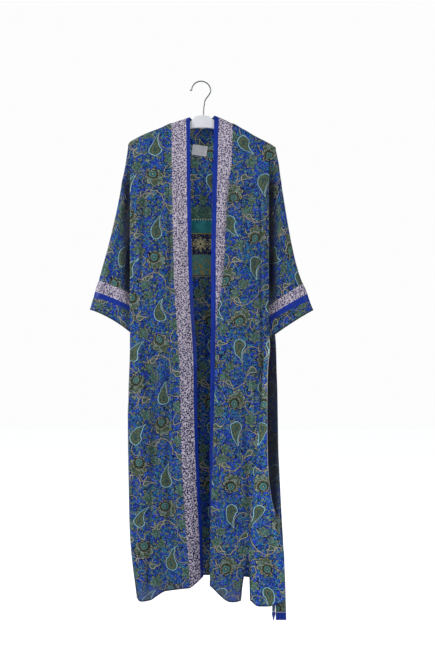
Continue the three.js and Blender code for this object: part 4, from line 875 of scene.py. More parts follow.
class Value:
    def __init__(self, graph, socket):
        self.graph, self.socket = graph, socket

    def _do(self, op, *other):
        return self.graph.math(op, self, *other)

    def __add__(self, o):
        return self._do("ADD", o)

    def __sub__(self, o):
        return self._do("SUBTRACT", o)

    def __mul__(self, o):
        return self._do("MULTIPLY", o)

    def __truediv__(self, o):
        return self._do("DIVIDE", o)

    def __pow__(self, o):
        return self._do("POWER", o)

    def __rsub__(self, o):
        return self.graph.math("SUBTRACT", o, self)

    __radd__, __rmul__ = __add__, __mul__

    def abs(self):
        return self._do("ABSOLUTE")

    def min(self, o):
        return self._do("MINIMUM", o)

    def max(self, o):
        return self._do("MAXIMUM", o)

    def below(self, edge, soft=0.15):
        """1 where the value is under the edge, with a soft step."""
        return self.graph.node(
            "ShaderNodeMapRange", {0: self, 1: edge - soft, 2: edge + soft, 3: 1.0, 4: 0.0}
        )

    def above(self, edge, soft=0.15):
        return self.graph.node(
            "ShaderNodeMapRange", {0: self, 1: edge - soft, 2: edge + soft, 3: 0.0, 4: 1.0}
        )


def linear(r, g, b):
    return tuple(
        (c / 255 / 12.92 if c / 255 <= 0.04045 else ((c / 255 + 0.055) / 1.055) ** 2.4) for c in (r, g, b)
    ) + (1.0,)


class Graph:
    def __init__(self, name, roughness, **sockets):
        self.material = bpy.data.materials.new(name)
        self.material.use_nodes = True
        self.tree = self.material.node_tree
        self.bsdf = self.tree.nodes["Principled BSDF"]
        self.set(self.bsdf, {"Roughness": roughness, **sockets})

    def set(self, node, ins):
        for key, value in ins.items():
            if isinstance(value, Value):
                self.tree.links.new(value.socket, node.inputs[key])
            else:
                node.inputs[key].default_value = value

    def node(self, kind, ins=None, out=0, **props):
        n = self.tree.nodes.new(kind)
        for key, value in props.items():
            setattr(n, key, value)
        self.set(n, ins or {})
        return Value(self, n.outputs[out])

    def math(self, op, *args):
        return self.node("ShaderNodeMath", dict(enumerate(args)), operation=op)

    def vec(self, op, *args, out=0):
        return self.node("ShaderNodeVectorMath", dict(enumerate(args)), out, operation=op)

    def split(self, v):
        n = self.tree.nodes.new("ShaderNodeSeparateXYZ")
        self.set(n, {0: v})
        return [Value(self, o) for o in n.outputs]

    def join(self, x, y):
        return self.node("ShaderNodeCombineXYZ", {0: x, 1: y})

    def flat(self):
        """The cloth's own coordinates in millimetres."""
        uv = self.node("ShaderNodeUVMap", uv_map="flat")
        return self.vec("MULTIPLY", uv, (1000, 1000, 1000))

    def number(self, name):
        return self.node("ShaderNodeAttribute", out=2, attribute_name=name)

    def noise(self, v, size, detail=1.0, out=0):
        return self.node(
            "ShaderNodeTexNoise", {"Vector": v, "Scale": 1 / size, "Detail": detail, "Roughness": 0.5}, out,
            noise_dimensions="2D"
        )

    def mix(self, fac, a, b):
        n = self.tree.nodes.new("ShaderNodeMix")
        n.data_type = "RGBA"
        self.set(n, {0: fac, 6: a, 7: b})
        return Value(self, n.outputs[2])

    def ramp(self, fac, stops, mode="LINEAR"):
        n = self.tree.nodes.new("ShaderNodeValToRGB")
        cr = n.color_ramp
        cr.interpolation = mode
        while len(cr.elements) < len(stops):
            cr.elements.new(1.0)
        for e, (at, colour) in zip(cr.elements, stops):
            e.position, e.color = at, colour
        self.set(n, {0: fac})
        return Value(self, n.outputs[0])

    def cells(self, v, size, **props):
        n = self.tree.nodes.new("ShaderNodeTexVoronoi")
        n.voronoi_dimensions = "2D"
        for key, value in props.items():
            setattr(n, key, value)
        self.set(n, {"Vector": v, "Scale": 1 / size, "Randomness": 1.0})
        return [Value(self, n.outputs["Distance"]), Value(self, n.outputs["Color"])]

    def finish(self, colour, height):
        self.set(self.bsdf, {"Base Color": colour})
        if height is not None:
            self.set(
                self.bsdf,
                {
                    "Normal": self.node(
                        "ShaderNodeBump",
                        {"Height": height, "Distance": BUMP_DEPTH, "Strength": BUMP_STRENGTH}
                    )
                }
            )
        return self.material


print("royal blue as linear light", [round(c, 3) for c in linear(24, 64, 192)[:3]])


# %% [markdown]
# ## The print
# The cloth is printed with a flowering vine: tall paisleys, open palmettes, small round flowers,
# thin forked stems and a dense ground of leaves. The repeat is our own chart: a cell 156 mm wide
# and 232 mm high, with a short list of motifs. Each motif is a distance from a drawn shape, and
# a colour ramp turns that distance into outlines and fillings.

# %% Motifs
CELL_W, CELL_H = 156, 232
# x, y, turn in degrees, size
PAISLEYS = [[36, 176, -14, 36], [114, 58, 12, 36]]
SMALL_PAISLEYS = [[72, 118, -70, 17], [140, 196, 60, 16], [10, 84, 40, 15]]
PALMETTES = [[112, 150, 0.2, 27], [32, 36, -0.5, 26]]
ROUNDS = [[76, 214, 0, 18], [74, 78, 0.4, 17], [152, 104, 0.2, 16], [140, 6, 0.5, 17], [8, 132, 0.1, 14]]
STEMS = [
    [70, 160, 20, 26], [24, 104, 200, 34], [118, 98, 95, 22], [84, 22, 150, 24], [150, 60, 300, 30],
    [96, 196, 250, 22], [10, 6, 60, 26], [54, 60, 330, 20], [140, 170, 120, 24]
]
INK = {
    "ground": linear(24, 64, 192), "dusk": linear(12, 38, 130), "deep": linear(3, 6, 26), "teal": linear(
        36, 118, 150
    ),
    "green": linear(42, 92, 86), "olive": linear(88, 104, 70), "gold": linear(
        138, 148, 110
    ), "beige": linear(172, 168, 150),
    "aqua": linear(
        152, 190, 198
    ), "brown": linear(50, 60, 52), "leaf": linear(22, 84, 144), "sea": linear(48, 112, 120),
}


def vine_print(g, p):
    """The printed colour at p, in millimetres on the cloth."""
    wob = g.vec("SUBTRACT", g.noise(p, 34, 1.0, 1), (0.5, 0.5, 0.5))
    p = g.vec("MULTIPLY_ADD", wob, (9, 9, 0), p)
    wob = g.vec("SUBTRACT", g.noise(p, 7, 1.0, 1), (0.5, 0.5, 0.5))
    p = g.vec("MULTIPLY_ADD", wob, (2.6, 2.6, 0), p)

    def local(x, y, turn, size):
        q = g.vec(
            "WRAP", g.vec("SUBTRACT", p, (x, y, 0)), (CELL_W / 2, CELL_H / 2, 1),
            (-CELL_W / 2, -CELL_H / 2, -1)
        )
        return g.node(
            "ShaderNodeMapping", {"Vector": q, "Rotation": (0, 0, turn), "Scale": (size, size, 1)},
            vector_type="TEXTURE"
        )

    def paisley(x, y, turn, size):
        u, v, _ = g.split(local(x, y, math.radians(turn), size))
        tail = (0.25 - v).max(0)
        u = u - tail * tail * 0.5 + 0.14
        c = v.max(-0.85).min(0.38)
        r = ((c + 0.85) / 1.23) ** 0.9 * 0.44 + 0.04
        return (g.vec("LENGTH", g.join(u, v - c), out=1) - r) * size

    def palmette(x, y, turn, size):
        """An open flower: nine scalloped petals, with rings that spread from its foot."""
        q = local(x, y, turn, size)
        u, v, _ = g.split(q)
        wave = g.math("COSINE", g.math("ARCTAN2", u, v) * 4.5).abs()
        low = g.vec("LENGTH", g.join(u, v + 0.42), out=1)
        fan = g.math("COSINE", g.math("ARCTAN2", u, v + 0.42) * 7).abs()
        return g.vec("LENGTH", q, out=1) / (wave * 0.24 + 0.76), low / (fan * 0.2 + 0.8), fan

    def sprig(x, y, turn, size):
        """A flower of six pointed leaves."""
        q = local(x, y, turn, size)
        u, v, _ = g.split(q)
        wave = g.math("COSINE", g.math("ARCTAN2", u, v) * 3).abs()
        r = g.vec("LENGTH", q, out=1)
        return r / (wave ** 0.8 * 0.62 + 0.38), r, wave

    def stem(x, y, turn, size):
        q = local(x, y, math.radians(turn), 1)
        u, v, _ = g.split(q)
        ring = (g.vec("LENGTH", q, out=1) - size).abs()
        fork = (
            g.vec("LENGTH", g.vec("SUBTRACT", q, (size * 0.55, size * 0.5, 0)), out=1) - size * 0.62
        ).abs()
        return ring.max(v * -1).min(fork.max(u * -1 + size * 0.3).max(v - size * 0.55))

    def nearest(values):
        best = values[0]
        for value in values[1:]:
            best = best.min(value)
        return best

    # ground of small leaves in three directions, each with a dark outline
    tone = g.noise(p, 46, 2.0)
    colour = g.mix(tone.above(0.5, 0.1), INK["ground"], INK["dusk"])
    for turn, tall, size, seed in ((0.6, 2.2, 7.4, 0), (-0.75, 1.9, 6.2, 40), (1.4, 1.6, 8.6, 90)):
        q = g.node(
            "ShaderNodeMapping",
            {"Vector": p, "Location": (seed, seed * 1.7, 0), "Rotation": (0, 0, turn), "Scale": (1, tall, 1)},
            vector_type="TEXTURE"
        )
        d, pick = g.cells(q, size)
        pick = g.split(pick)[0]
        fill = g.ramp(
            pick,
            [
                (0, INK["leaf"]), (0.24, INK["ground"]), (0.42, INK["teal"]), (0.56, INK["green"]),
                (0.68, INK["ground"]), (0.84, INK["dusk"]), (0.93, INK["olive"])
            ],
            "CONSTANT"
        )
        colour = g.mix(d.below(0.35, 0.03), colour, INK["deep"])
        colour = g.mix(d.below(0.29, 0.03), colour, fill)
        colour = g.mix(d.below(0.07, 0.02) * pick.above(0.72, 0.05), colour, INK["gold"])
    # thin wandering tendrils
    for size, ink, wide in ((26, "gold", 0.008), (15, "deep", 0.018), (18, "teal", 0.013)):
        colour = g.mix((g.noise(p, size, 1.0) - 0.5).abs().below(wide, 0.005), colour, INK[ink])
    # tiny blossoms
    d, pick = g.cells(g.vec("ADD", p, (13, 57, 0)), 14)
    pick = g.split(pick)[1]
    blossom = g.ramp(
        d,
        [(0, INK["deep"]), (0.05, INK["gold"]), (0.1, INK["brown"]), (0.16, INK["gold"]), (0.2, INK["deep"])],
        "CONSTANT"
    )
    colour = g.mix(d.below(0.24, 0.02) * pick.below(0.5, 0.02), colour, blossom)
    # pin dots, pale on the ink
    d, pick = g.cells(p, 3.6)
    colour = g.mix(d.below(0.17, 0.03) * g.split(pick)[2].below(0.2, 0.02), colour, INK["aqua"])
    # stems
    line = nearest([stem(*s) for s in STEMS])
    colour = g.mix(line.below(1.7, 0.3), colour, INK["deep"])
    colour = g.mix(line.below(0.75, 0.3), colour, INK["beige"])
    # flowers
    grain = g.cells(p, 2.3)[0]
    speck = g.mix(grain.below(0.34, 0.05), INK["deep"], INK["olive"])
    vary = g.noise(p, 11, 1.0).above(0.52, 0.04)
    broken = g.noise(p, 6, 1.0).above(0.47, 0.03)
    shut, r, wave = [nearest(v) for v in zip(*[sprig(*row) for row in ROUNDS])]
    body = g.ramp(
        shut,
        [
            (0, INK["gold"]), (0.16, INK["deep"]), (0.24, INK["green"]), (0.52, INK["brown"]),
            (0.6, INK["olive"]), (0.8, INK["green"])
        ],
        "CONSTANT"
    )
    body = g.mix(wave.above(0.93, 0.02) * r.above(0.2, 0.02) * shut.below(0.8, 0.02), body, INK["gold"])
    body = g.mix(vary * 0.7, body, g.mix(grain.below(0.3, 0.05), INK["sea"], INK["gold"]))
    body = g.mix(shut.above(0.92, 0.02) * broken, body, INK["beige"])
    colour = g.mix(shut.below(1.16, 0.03), colour, INK["deep"])
    colour = g.mix(shut.below(1.0, 0.02), colour, body)
    outer, low, fan = [nearest(v) for v in zip(*[palmette(*row) for row in PALMETTES])]
    rings = g.ramp(
        low,
        [
            (0, INK["gold"]), (0.1, INK["deep"]), (0.16, INK["sea"]), (0.34, INK["gold"]),
            (0.38, INK["deep"]), (0.44, INK["green"]), (0.68, INK["beige"]), (0.74, INK["deep"]),
            (0.8, INK["olive"])
        ],
        "CONSTANT"
    )
    rings = g.mix(low.above(0.44, 0.01) * low.below(0.68, 0.01), rings, speck)
    rings = g.mix(low.above(0.8, 0.01) * grain.below(0.4, 0.05), rings, INK["brown"])
    rings = g.mix(fan.below(0.1, 0.03) * low.above(0.42, 0.02), rings, INK["deep"])
    rings = g.mix(
        vary * low.above(0.74, 0.02) * 0.8, rings, g.mix(grain.below(0.32, 0.05), INK["sea"], INK["beige"])
    )
    rings = g.mix(outer.above(0.93, 0.015) * broken, rings, INK["beige"])
    colour = g.mix(outer.below(1.1, 0.03), colour, INK["deep"])
    colour = g.mix(outer.below(1.0, 0.02), colour, rings)
    # paisleys
    for rows, pale in ((SMALL_PAISLEYS, "beige"), (PAISLEYS, "aqua")):
        d = nearest([paisley(*row) for row in rows])
        fill = g.mix(
            d.below(-7.5, 0.3), g.mix(grain.below(0.34, 0.05), INK["olive"], INK["deep"]),
            g.mix(grain.below(0.3, 0.05), INK["brown"], INK["gold"])
        )
        fill = g.mix(d.below(-12, 0.3), fill, g.mix(grain.below(0.3, 0.05), INK["brown"], INK["sea"]))
        body = g.mix(d.above(-4.8, 0.2), fill, g.mix(d.above(-3.6, 0.2), INK["sea"], INK["deep"]))
        body = g.mix(d.above(-2.3, 0.3), body, INK[pale])
        colour = g.mix(d.below(1.1, 0.3), colour, INK["deep"])
        colour = g.mix(d.below(0, 0.3), colour, body)
    return colour


def weave(g, p):
    """Fine crepe grain for the bump."""
    return g.noise(p, 0.8, 2.0) * 0.5 + g.noise(g.vec("MULTIPLY", p, (3.0, 0.5, 1)), 1.3, 1.0) * 0.5


def stitch(g, p, edge, inset):
    """A row of short stitches beside an edge: 1 on the thread, 0 elsewhere."""
    run = g.split(p)[0] + g.split(p)[1]
    return (edge - inset).abs().below(0.35, 0.15) * g.math("FRACT", run / 2.8).below(0.62, 0.05)


# Painted tones that the lamps do not make: light through the silk of the back, and shade in the folds.
BACK_GLOW = 1.4
TUCK_SHADE = 0.93
TROUGH_SHADE = 0.42
SILK = {"Sheen Weight": 0.04, "Sheen Roughness": 0.4, "Specular IOR Level": 0.22}


def silk_print(name, border=False):
    g = Graph(name, 0.58, **SILK)
    p = g.flat()
    u, v, _ = g.split(p)
    colour = vine_print(g, p if border else g.join(u, v * g.math("SIGN", u)))
    # painted light: the back's vine print is made brighter by BACK_GLOW, standing in for light through the
    # thin silk
    if border:  # the back hangs in the fronts' shade, and thin silk lets light through to it
        colour = woven_border(g, p, v, g.vec("MULTIPLY", colour, (BACK_GLOW,) * 3))
        ridge = g.number("ridge").abs()
        pale = ridge.below(1.5, 0.4) * v.below(-716, 12) * v.above(-1120, 120)
        colour = g.mix(pale, colour, linear(214, 210, 200))
    colour = g.mix(g.number("thin") * 0.4, colour, linear(90, 100, 150))
    # painted shade: the print turns near black deep in the side tucks and a little darker in the flute
    # troughs
    colour = g.mix(g.number("fold_shade") * TUCK_SHADE, colour, linear(3, 7, 32))
    hem = g.number("hem")
    colour = g.mix(hem.below(4.6, 0.4) * 0.55, colour, INK["deep"])
    colour = g.mix(stitch(g, p, hem, 4.2), colour, linear(20, 26, 70))
    height = weave(g, p) * 0.25 - hem.below(4.9, 0.3) * hem.above(4.3, 0.3) + stitch(g, p, hem, 4.2) * 0.4
    return g.finish(colour, height)


# %% [markdown]
# ## The woven border
# A sari ends in a border of coloured bands. Here it crosses the back below the collar: a green
# band, a row of white dots, a plain turquoise band, a gold thread, a navy band of star flowers and
# an aqua band with gold blotches. Each band is a range of heights on the cloth.

# %% Border
def woven_border(g, p, v, colour):
    def within(low, high):
        return v.above(low, 0.5) * v.below(high, 0.5)

    def tile(x, y, w, h):
        q = g.vec("SUBTRACT", p, (x, y, 0))
        return g.vec("WRAP", q, (w / 2, h / 2, 1), (-w / 2, -h / 2, -1))

    d, pick = g.cells(p, 5.2)
    small = g.mix(
        d.below(0.3, 0.06), linear(70, 116, 104),
        g.ramp(
            g.split(pick)[0],
            [(0, linear(150, 176, 160)), (0.4, linear(40, 70, 96)), (0.7, linear(120, 136, 80))], "CONSTANT"
        )
    )
    colour = g.mix(within(-384, -350), colour, small)
    dots = g.vec("LENGTH", tile(0, -385.5, 7.4, 4.6), out=1)
    colour = g.mix(
        within(-388, -383.5), colour, g.mix(dots.below(1.9, 0.4), linear(60, 96, 70), linear(236, 238, 226))
    )
    colour = g.mix(
        within(-423, -388), colour,
        g.ramp(g.noise(p, 30, 2.0), [(0.3, linear(36, 120, 132)), (0.7, linear(66, 172, 178))])
    )
    colour = g.mix(
        within(-427, -423), colour, g.mix(within(-426, -424), linear(40, 60, 60), linear(190, 172, 96))
    )
    q = tile(0, -454, 38, 54)
    x, y, _ = g.split(q)
    r, a = g.vec("LENGTH", q, out=1), g.math("ARCTAN2", y, x)
    star = r / (g.math("COSINE", a * 4).abs() * 13 + 7)
    navy = g.mix(g.cells(p, 6.0)[0].below(0.24, 0.05), linear(24, 34, 84), linear(150, 150, 120))
    navy = g.mix(
        star.below(1, 0.06), navy,
        g.ramp(
            star,
            [
                (0, linear(50, 60, 60)), (0.2, linear(214, 204, 160)), (0.7, linear(120, 116, 70)),
                (0.86, linear(220, 214, 180))
            ],
            "CONSTANT"
        )
    )
    q = tile(19, -454, 38, 54)
    diamond = g.vec("LENGTH", q, out=1)
    navy = g.mix(
        diamond.below(7, 0.5), navy,
        g.ramp(
            diamond / 7,
            [(0, linear(214, 200, 140)), (0.4, linear(30, 40, 80)), (0.7, linear(180, 176, 140))], "CONSTANT"
        )
    )
    colour = g.mix(within(-484, -427), colour, navy)
    blot = g.noise(g.vec("MULTIPLY", p, (1, 0.8, 1)), 11, 1.0)
    aqua = g.mix(
        blot.above(0.56, 0.05) * v.below(-500, 8),
        g.mix(g.cells(p, 5)[0].below(0.25, 0.1), linear(110, 166, 160), linear(60, 110, 110)),
        linear(176, 158, 84)
    )
    colour = g.mix(within(-541, -484), colour, aqua)
    return g.mix(
        within(-546, -541), colour, g.mix(within(-545, -543.2), linear(40, 60, 90), linear(196, 184, 150))
    )


print("border woven across the back")


# %% [markdown]
# ## Plain finishes
# Speckled lilac, plain royal blue, the label, moulded plastic and drawn wire.

# %% Plain finishes
def speckled():
    """The printed strip of the band: pale lilac with dark flecks."""
    g = Graph("lilac_print", 0.6, **SILK)
    p = g.flat()
    wob = g.vec("MULTIPLY_ADD", g.vec("SUBTRACT", g.noise(p, 5, 1.0, 1), (0.5, 0.5, 0.5)), (3, 3, 0), p)
    d, pick = g.cells(wob, 4.4)
    tones = g.split(pick)
    ground = g.mix(g.noise(p, 7, 2.0).above(0.5, 0.1), linear(214, 204, 212), linear(184, 174, 194))
    fleck = g.mix(tones[0].below(0.5, 0.02), linear(20, 18, 72), linear(42, 36, 98))
    dense = g.split(p)[1].below(-760, 260) * 0.1
    colour = g.mix((d - dense).below(0.39, 0.05) * tones[1].below(0.86, 0.02), ground, fleck)
    d2, pick2 = g.cells(g.vec("ADD", p, (31, 17, 0)), 6.2)
    colour = g.mix(d2.below(0.2, 0.05) * g.split(pick2)[0].below(0.6, 0.02), colour, linear(216, 208, 214))
    hem = g.number("hem")
    colour = g.mix(hem.below(4.6, 0.4) * 0.4, colour, linear(70, 56, 100))
    # painted shade: the lilac darkens in the side tucks and the troughs between flutes
    colour = g.mix(g.number("fold_shade") * 0.7, colour, linear(6, 8, 34))
    return g.finish(colour, weave(g, p) * 0.25 - hem.below(4.9, 0.3) * hem.above(4.3, 0.3) * 0.8)


def royal():
    """The plain edge strips: royal blue silk, a little brighter where the weave catches light."""
    g = Graph("royal_silk", 0.42, **SILK)
    p = g.flat()
    streak = g.noise(g.vec("MULTIPLY", p, (1, 0.06, 1)), 2.4, 2.0)
    colour = g.ramp(streak, [(0.25, linear(12, 40, 130)), (0.75, linear(24, 60, 172))])
    # painted shade: the royal blue darkens in the side tucks and the troughs between flutes
    colour = g.mix(g.number("fold_shade") * 0.7, colour, linear(3, 6, 40))
    hem = g.number("hem")
    return g.finish(
        colour, weave(g, p) * 0.2 + streak * 0.2 - hem.below(4.9, 0.3) * hem.above(4.3, 0.3) * 0.8
    )


def tab():
    g = Graph("label_white", 0.75, **{"Sheen Weight": 0.2})
    p = g.flat()
    u, v, _ = g.split(p)
    rib = g.math("SINE", v * 5.2) * 0.5 + g.math("SINE", u * 4.1) * 0.3
    return g.finish(
        g.ramp(g.noise(p, 9, 2.0), [(0.3, linear(240, 240, 244)), (0.7, linear(252, 252, 253))]), rib * 0.4
    )


def moulded():
    g = Graph("hanger_white", 0.34, **{"Specular IOR Level": 0.5})
    p = g.vec("MULTIPLY", g.node("ShaderNodeTexCoord", out=3), (1000, 1000, 1000))
    grain = g.node("ShaderNodeTexNoise", {"Vector": p, "Scale": 0.9, "Detail": 2.0})
    wear = g.node("ShaderNodeTexNoise", {"Vector": p, "Scale": 0.03, "Detail": 3.0})
    return g.finish(
        g.ramp(wear, [(0.35, linear(232, 233, 236)), (0.65, linear(244, 245, 247))]), grain * 0.15
    )


def wire():
    g = Graph("hook_steel", 0.42, Metallic=1.0)
    p = g.vec("MULTIPLY", g.node("ShaderNodeTexCoord", out=3), (1000, 1000, 1000))
    drawn = g.node(
        "ShaderNodeTexNoise", {"Vector": g.vec("MULTIPLY", p, (0.4, 3, 0.4)), "Scale": 1.0, "Detail": 2.0}
    )
    return g.finish(g.ramp(drawn, [(0.3, linear(104, 106, 110)), (0.7, linear(150, 152, 156))]), drawn * 0.1)


FINISH = {"print": (silk_print("print_silk"), "print_silk"), "back": (silk_print("print_silk_border", True),
    "print_silk"),
          "band": (
              speckled(), "lilac_print"
          ), "blue": (royal(), "royal_silk"), "label": (tab(), "label_white"),
          "plastic": (moulded(), "hanger_white"), "steel": (wire(), "hook_steel")}
print("materials", [m.name for m, _ in FINISH.values()])

# %% [markdown]
# ## Taking the place of a CAD node
# Each piece is given its finish and replaces the node or nodes that it was made for.

# %% Taking the place of a CAD node
pieces = {}


def stands_for(ob, node, finish):
    material, slot = FINISH[finish]
    ob.data.materials.append(material)
    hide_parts(*([node] if isinstance(node, str) else node))
    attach(ob, "root")
    pieces[ob.name] = ob
    return ob


print(len(pieces), "pieces so far")


# %% [markdown]
# ## Cutting the body
# The fronts and the back share their rows, so that the side seams meet. A front's grid is cut at
# the band's seams into its edge strip, printed strip and panel. Along each seam the cloth dips by
# half a millimetre, as a pressed seam does, and the wall doubles along the hem, where the edge is
# turned up and stitched.

# %% Body pieces
ROW_T = lengths(coarse["back"][:, SHEET_N + HEAD_N + 1:SHEET_N + HEAD_N + 2], 0)
FINE_ROWS = densify(ROW_T, 7.0, [1.0, 4.0, 4.8, 5.6, -0.5, -1.2, -2.2, -3.4])
row_at = {i: int(np.argmin(abs(FINE_ROWS - ROW_T[i]))) for i in (N_SLIT, N_ARM, N_CUFFTOP, N_BASE)}
WALL = 0.8


def body_sheet(grid, splits, step, calm=False):
    """Refines the body's blocks of columns and joins them; returns the grid and where each split is."""
    out, at, blocks = [], [0], []
    for a, b in zip(splits, splits[1:]):
        block = grid[:, a:b + 1]
        rows = ~np.isnan(block[..., 0]).any(axis=1)
        t = lengths(block[rows], 1)
        cols = densify(t, step, [])
        full = np.full((len(FINE_ROWS), len(cols), grid.shape[-1]), np.nan)
        want = FINE_ROWS >= ROW_T[rows][0] - 1e-4
        full[want] = refine(block[rows], ROW_T[rows], FINE_ROWS[want], t, cols, calm)
        blocks.append(full if not out else full[:, 1:])
        out.append(full)
        at.append(at[-1] + len(cols) - 1)
    # a column shared with a block that stops at the armpit comes from the longer block
    for k in range(1, len(blocks)):
        if np.isnan(blocks[k - 1][0, -1, 0]):
            col = np.where(np.isnan(out[k - 1][:, -1:]), out[k][:, :1], out[k - 1][:, -1:])
            blocks[k - 1] = np.concatenate([blocks[k - 1][:, :-1], col], axis=1)
    return np.concatenate(blocks, axis=1), at


def flat_of(p, anchor, value, sign):
    """Flat coordinates: across from the anchor column, and height along the cloth."""
    d = np.nan_to_num(np.linalg.norm(np.diff(p[..., :3], axis=1), axis=-1))
    across = np.concatenate([np.zeros((len(p), 1)), np.cumsum(d, axis=1)], axis=1)
    across = value + sign * (across - across[:, anchor:anchor + 1])
    up = np.nan_to_num(np.linalg.norm(np.diff(p[..., :3], axis=0), axis=-1))
    high = np.concatenate([np.zeros((1, p.shape[1])), np.cumsum(up, axis=0)])
    b = row_at[N_BASE]
    v = np.where(np.arange(len(p))[:, None] <= b, p[..., 2], p[b, :, 2] + high - high[b])
    return np.stack([across, v], -1)


def hem_of(p, slit_cols):
    """Distance from the nearest open edge: the hem, and the slits below their tops."""
    up = np.nan_to_num(np.linalg.norm(np.diff(p[..., :3], axis=0), axis=-1))
    edge = np.concatenate([np.zeros((1, p.shape[1])), np.cumsum(up, axis=0)])
    for col in slit_cols:
        d = np.linalg.norm(p[..., :3] - p[:, col:col + 1, :3], axis=-1)
        d[row_at[N_SLIT]:] = 99
        edge = np.fmin(edge, d)
    return edge


def fold_shade_of(p):
    """Painted shade: how deep a point lies in the side tucks, where little light gets in, 0 on the faces and
    1 inside.
    """
    x, y, z = abs(p[..., 0]), p[..., 1], p[..., 2]
    right = p[..., 0] > 0
    ridge, face = np.where(right, 188, 198), np.interp(
        z, [-1450, -1000, -455, -300, -230, -150], [32, 31, 27, 19, 13, 10]
    )
    far = np.where(right & (z < -690), 230, ridge + 32)
    inside = smooth(0.95, 0.66, abs(y) / face) * smooth(146, 154, x) * smooth(far, far - 22, x)
    ends = np.where(right, smooth(-1262, -1190, z), smooth(-850, -780, z))
    inside = inside * ends * smooth(-222, -300, z)
    # the troughs between flutes get a little painted shade too
    trough = np.where(y < 0, relief(p[..., 0], z, "front"), -relief(p[..., 0], z, "back"))
    return np.nan_to_num(np.maximum(inside, TROUGH_SHADE * smooth(0.3, 4.6, trough) * smooth(4, 9, abs(y))))


SEAM_DENT = 0.5  # mm


def dip(p, normal, cols):
    """Presses the cloth in along its seams."""
    for col in cols:
        d = np.linalg.norm(p[..., :3] - p[:, col:col + 1, :3], axis=-1)
        p[..., :3] -= normal * (SEAM_DENT * np.exp(-((np.nan_to_num(d, nan=99) / 2.4) ** 2)))[..., None]
    return p


def cells_of(p, a, b):
    ok = ~np.isnan(p[..., 0])
    keep = ok[:-1, :-1] & ok[:-1, 1:] & ok[1:, :-1] & ok[1:, 1:]
    keep[:, :a], keep[:, b:] = False, False
    return keep


TOP = len(FINE_ROWS) - 1
for s, side in (("r", "right"), ("l", "left")):
    grid = coarse[s]
    last = grid.shape[1] - 1
    p, at = body_sheet(grid, [0, 1, 3, last - SHEET_N, last], 4.0)
    sign = -1 if s == "r" else 1
    flat = flat_of(p, at[2], sign * 75, sign)
    edge = hem_of(p, [at[3]])
    p = with_relief(p)
    level = np.zeros(p.shape[:2], bool)
    level[TOP] = True
    level[row_at[N_CUFFTOP]:, -1] = True
    n = grid_normals(p, False, level)
    p = dip(p, n, [at[1], at[2]])
    wall = WALL * np.where(edge < 4.9, 1.9, 1.0)
    # painted shade: one of these numbers darkens the side tucks and the troughs between flutes
    extra = {"hem": edge, "thin": smooth(-1392, -1446, flat[..., 1]), "fold_shade": fold_shade_of(p)}
    for a, b, part, finish in (
        (0, at[1], "band_blue", "blue"), (at[1], at[2], "band_print", "band"),
        (at[2], at[4], "front", "print")
    ):
        ob = shell(f"silk_{part}_{side}", p, cells_of(p, a, b), n, flat, extra, wall)
        nodes = [
            f"front{k}_{side}" for k in ("", "_side", "_shoulder")
        ] if part == "front" else f"{part}_{side}"
        stands_for(ob, nodes, finish)
print("fronts and bands made,", len(pieces), "pieces")

# %% [markdown]
# ## The back
# One sheet from side to side, with the same hem, slits and seams as the fronts.

# %% Back piece
grid = coarse["back"]
last = grid.shape[1] - 1
p, at = body_sheet(grid, [0, SHEET_N, last - SHEET_N, last], 4.2, True)
middle = int(np.argmin(abs(p[row_at[N_BASE], at[1]:at[2], 0]))) + at[1]
flat = flat_of(p, middle, 0, 1)
edge = hem_of(p, at[1:3])
p = with_relief(p)
level = np.zeros(p.shape[:2], bool)
level[TOP] = (p[TOP, :, 0] <= NECK_L) | (p[TOP, :, 0] >= NECK_R)
level[row_at[N_CUFFTOP]:, [0, -1]] = True
n = grid_normals(p, False, level)
# painted shade: one of these numbers darkens the side tucks and the troughs between flutes
extra = {"hem": edge, "thin": np.zeros(p.shape[:2]), "ridge": p[..., 3], "fold_shade": fold_shade_of(p)}
ob = shell("silk_back", p, cells_of(p, 0, p.shape[1]), n, flat, extra, WALL * np.where(edge < 4.9, 1.9, 1.0))
stands_for(
    ob, ["back", *[f"back_{k}_{side}" for k in ("side", "shoulder") for side in ("right", "left")]], "back"
)
print("back made,", len(pieces), "pieces")

# %% [markdown]
# ## Sleeves and cuffs
# The tube is cut into the sleeve, a speckled strip, a plain strip and a printed end.

# %% Sleeve pieces
for s, side in (("r", "right"), ("l", "left")):
    grid, t, cols = fine_columns(coarse[f"sleeve_{s}"], True, 4.5)
    rt = lengths(coarse[f"sleeve_{s}"], 0)
    rows = densify(rt, 5.0, [-0.8, -3.6, -4.6, -5.4])
    cut = [int(np.argmin(abs(rows - rt[i]))) for i in (0, 6, 8, 9, 11)]
    p = refine(grid, rt, rows, t, cols)
    around = np.concatenate([[0], np.cumsum(np.linalg.norm(np.diff(p, axis=1), axis=-1).mean(axis=0))])
    sign = -1 if s == "r" else 1
    flat = np.stack(np.broadcast_arrays(sign * around[None], -300 - rows[:, None]), -1)
    p = with_relief(p, True)
    n = grid_normals(p, True)
    edge = np.broadcast_to((rows[-1] - rows)[:, None], p.shape[:2])
    # painted shade in the side tucks and troughs, faded out towards the cuff
    extra = {"hem": edge, "thin": np.zeros(p.shape[:2]), "fold_shade": fold_shade_of(p) * smooth(-700, -560, p[..., 2])}
    for i in cut[1:4]:
        d = abs(rows - rows[i])[:, None, None]
        p = p - n * 0.5 * np.exp(-((d / 2.4) ** 2))
    names = (("sleeve", "print"), ("cuff_print", "band"), ("cuff_blue", "blue"), ("cuff_end", "print"))
    for (part, finish), a, b in zip(names, cut, cut[1:]):
        keep = np.zeros((len(rows) - 1, p.shape[1]), bool)
        keep[a:b] = True
        ob = shell(
            f"silk_{part}_{side}", p, keep, n, flat, extra, WALL * np.where(edge < 4.9, 1.9, 1.0), wrap=True
        )
        stands_for(ob, f"{part}_{side}", finish)
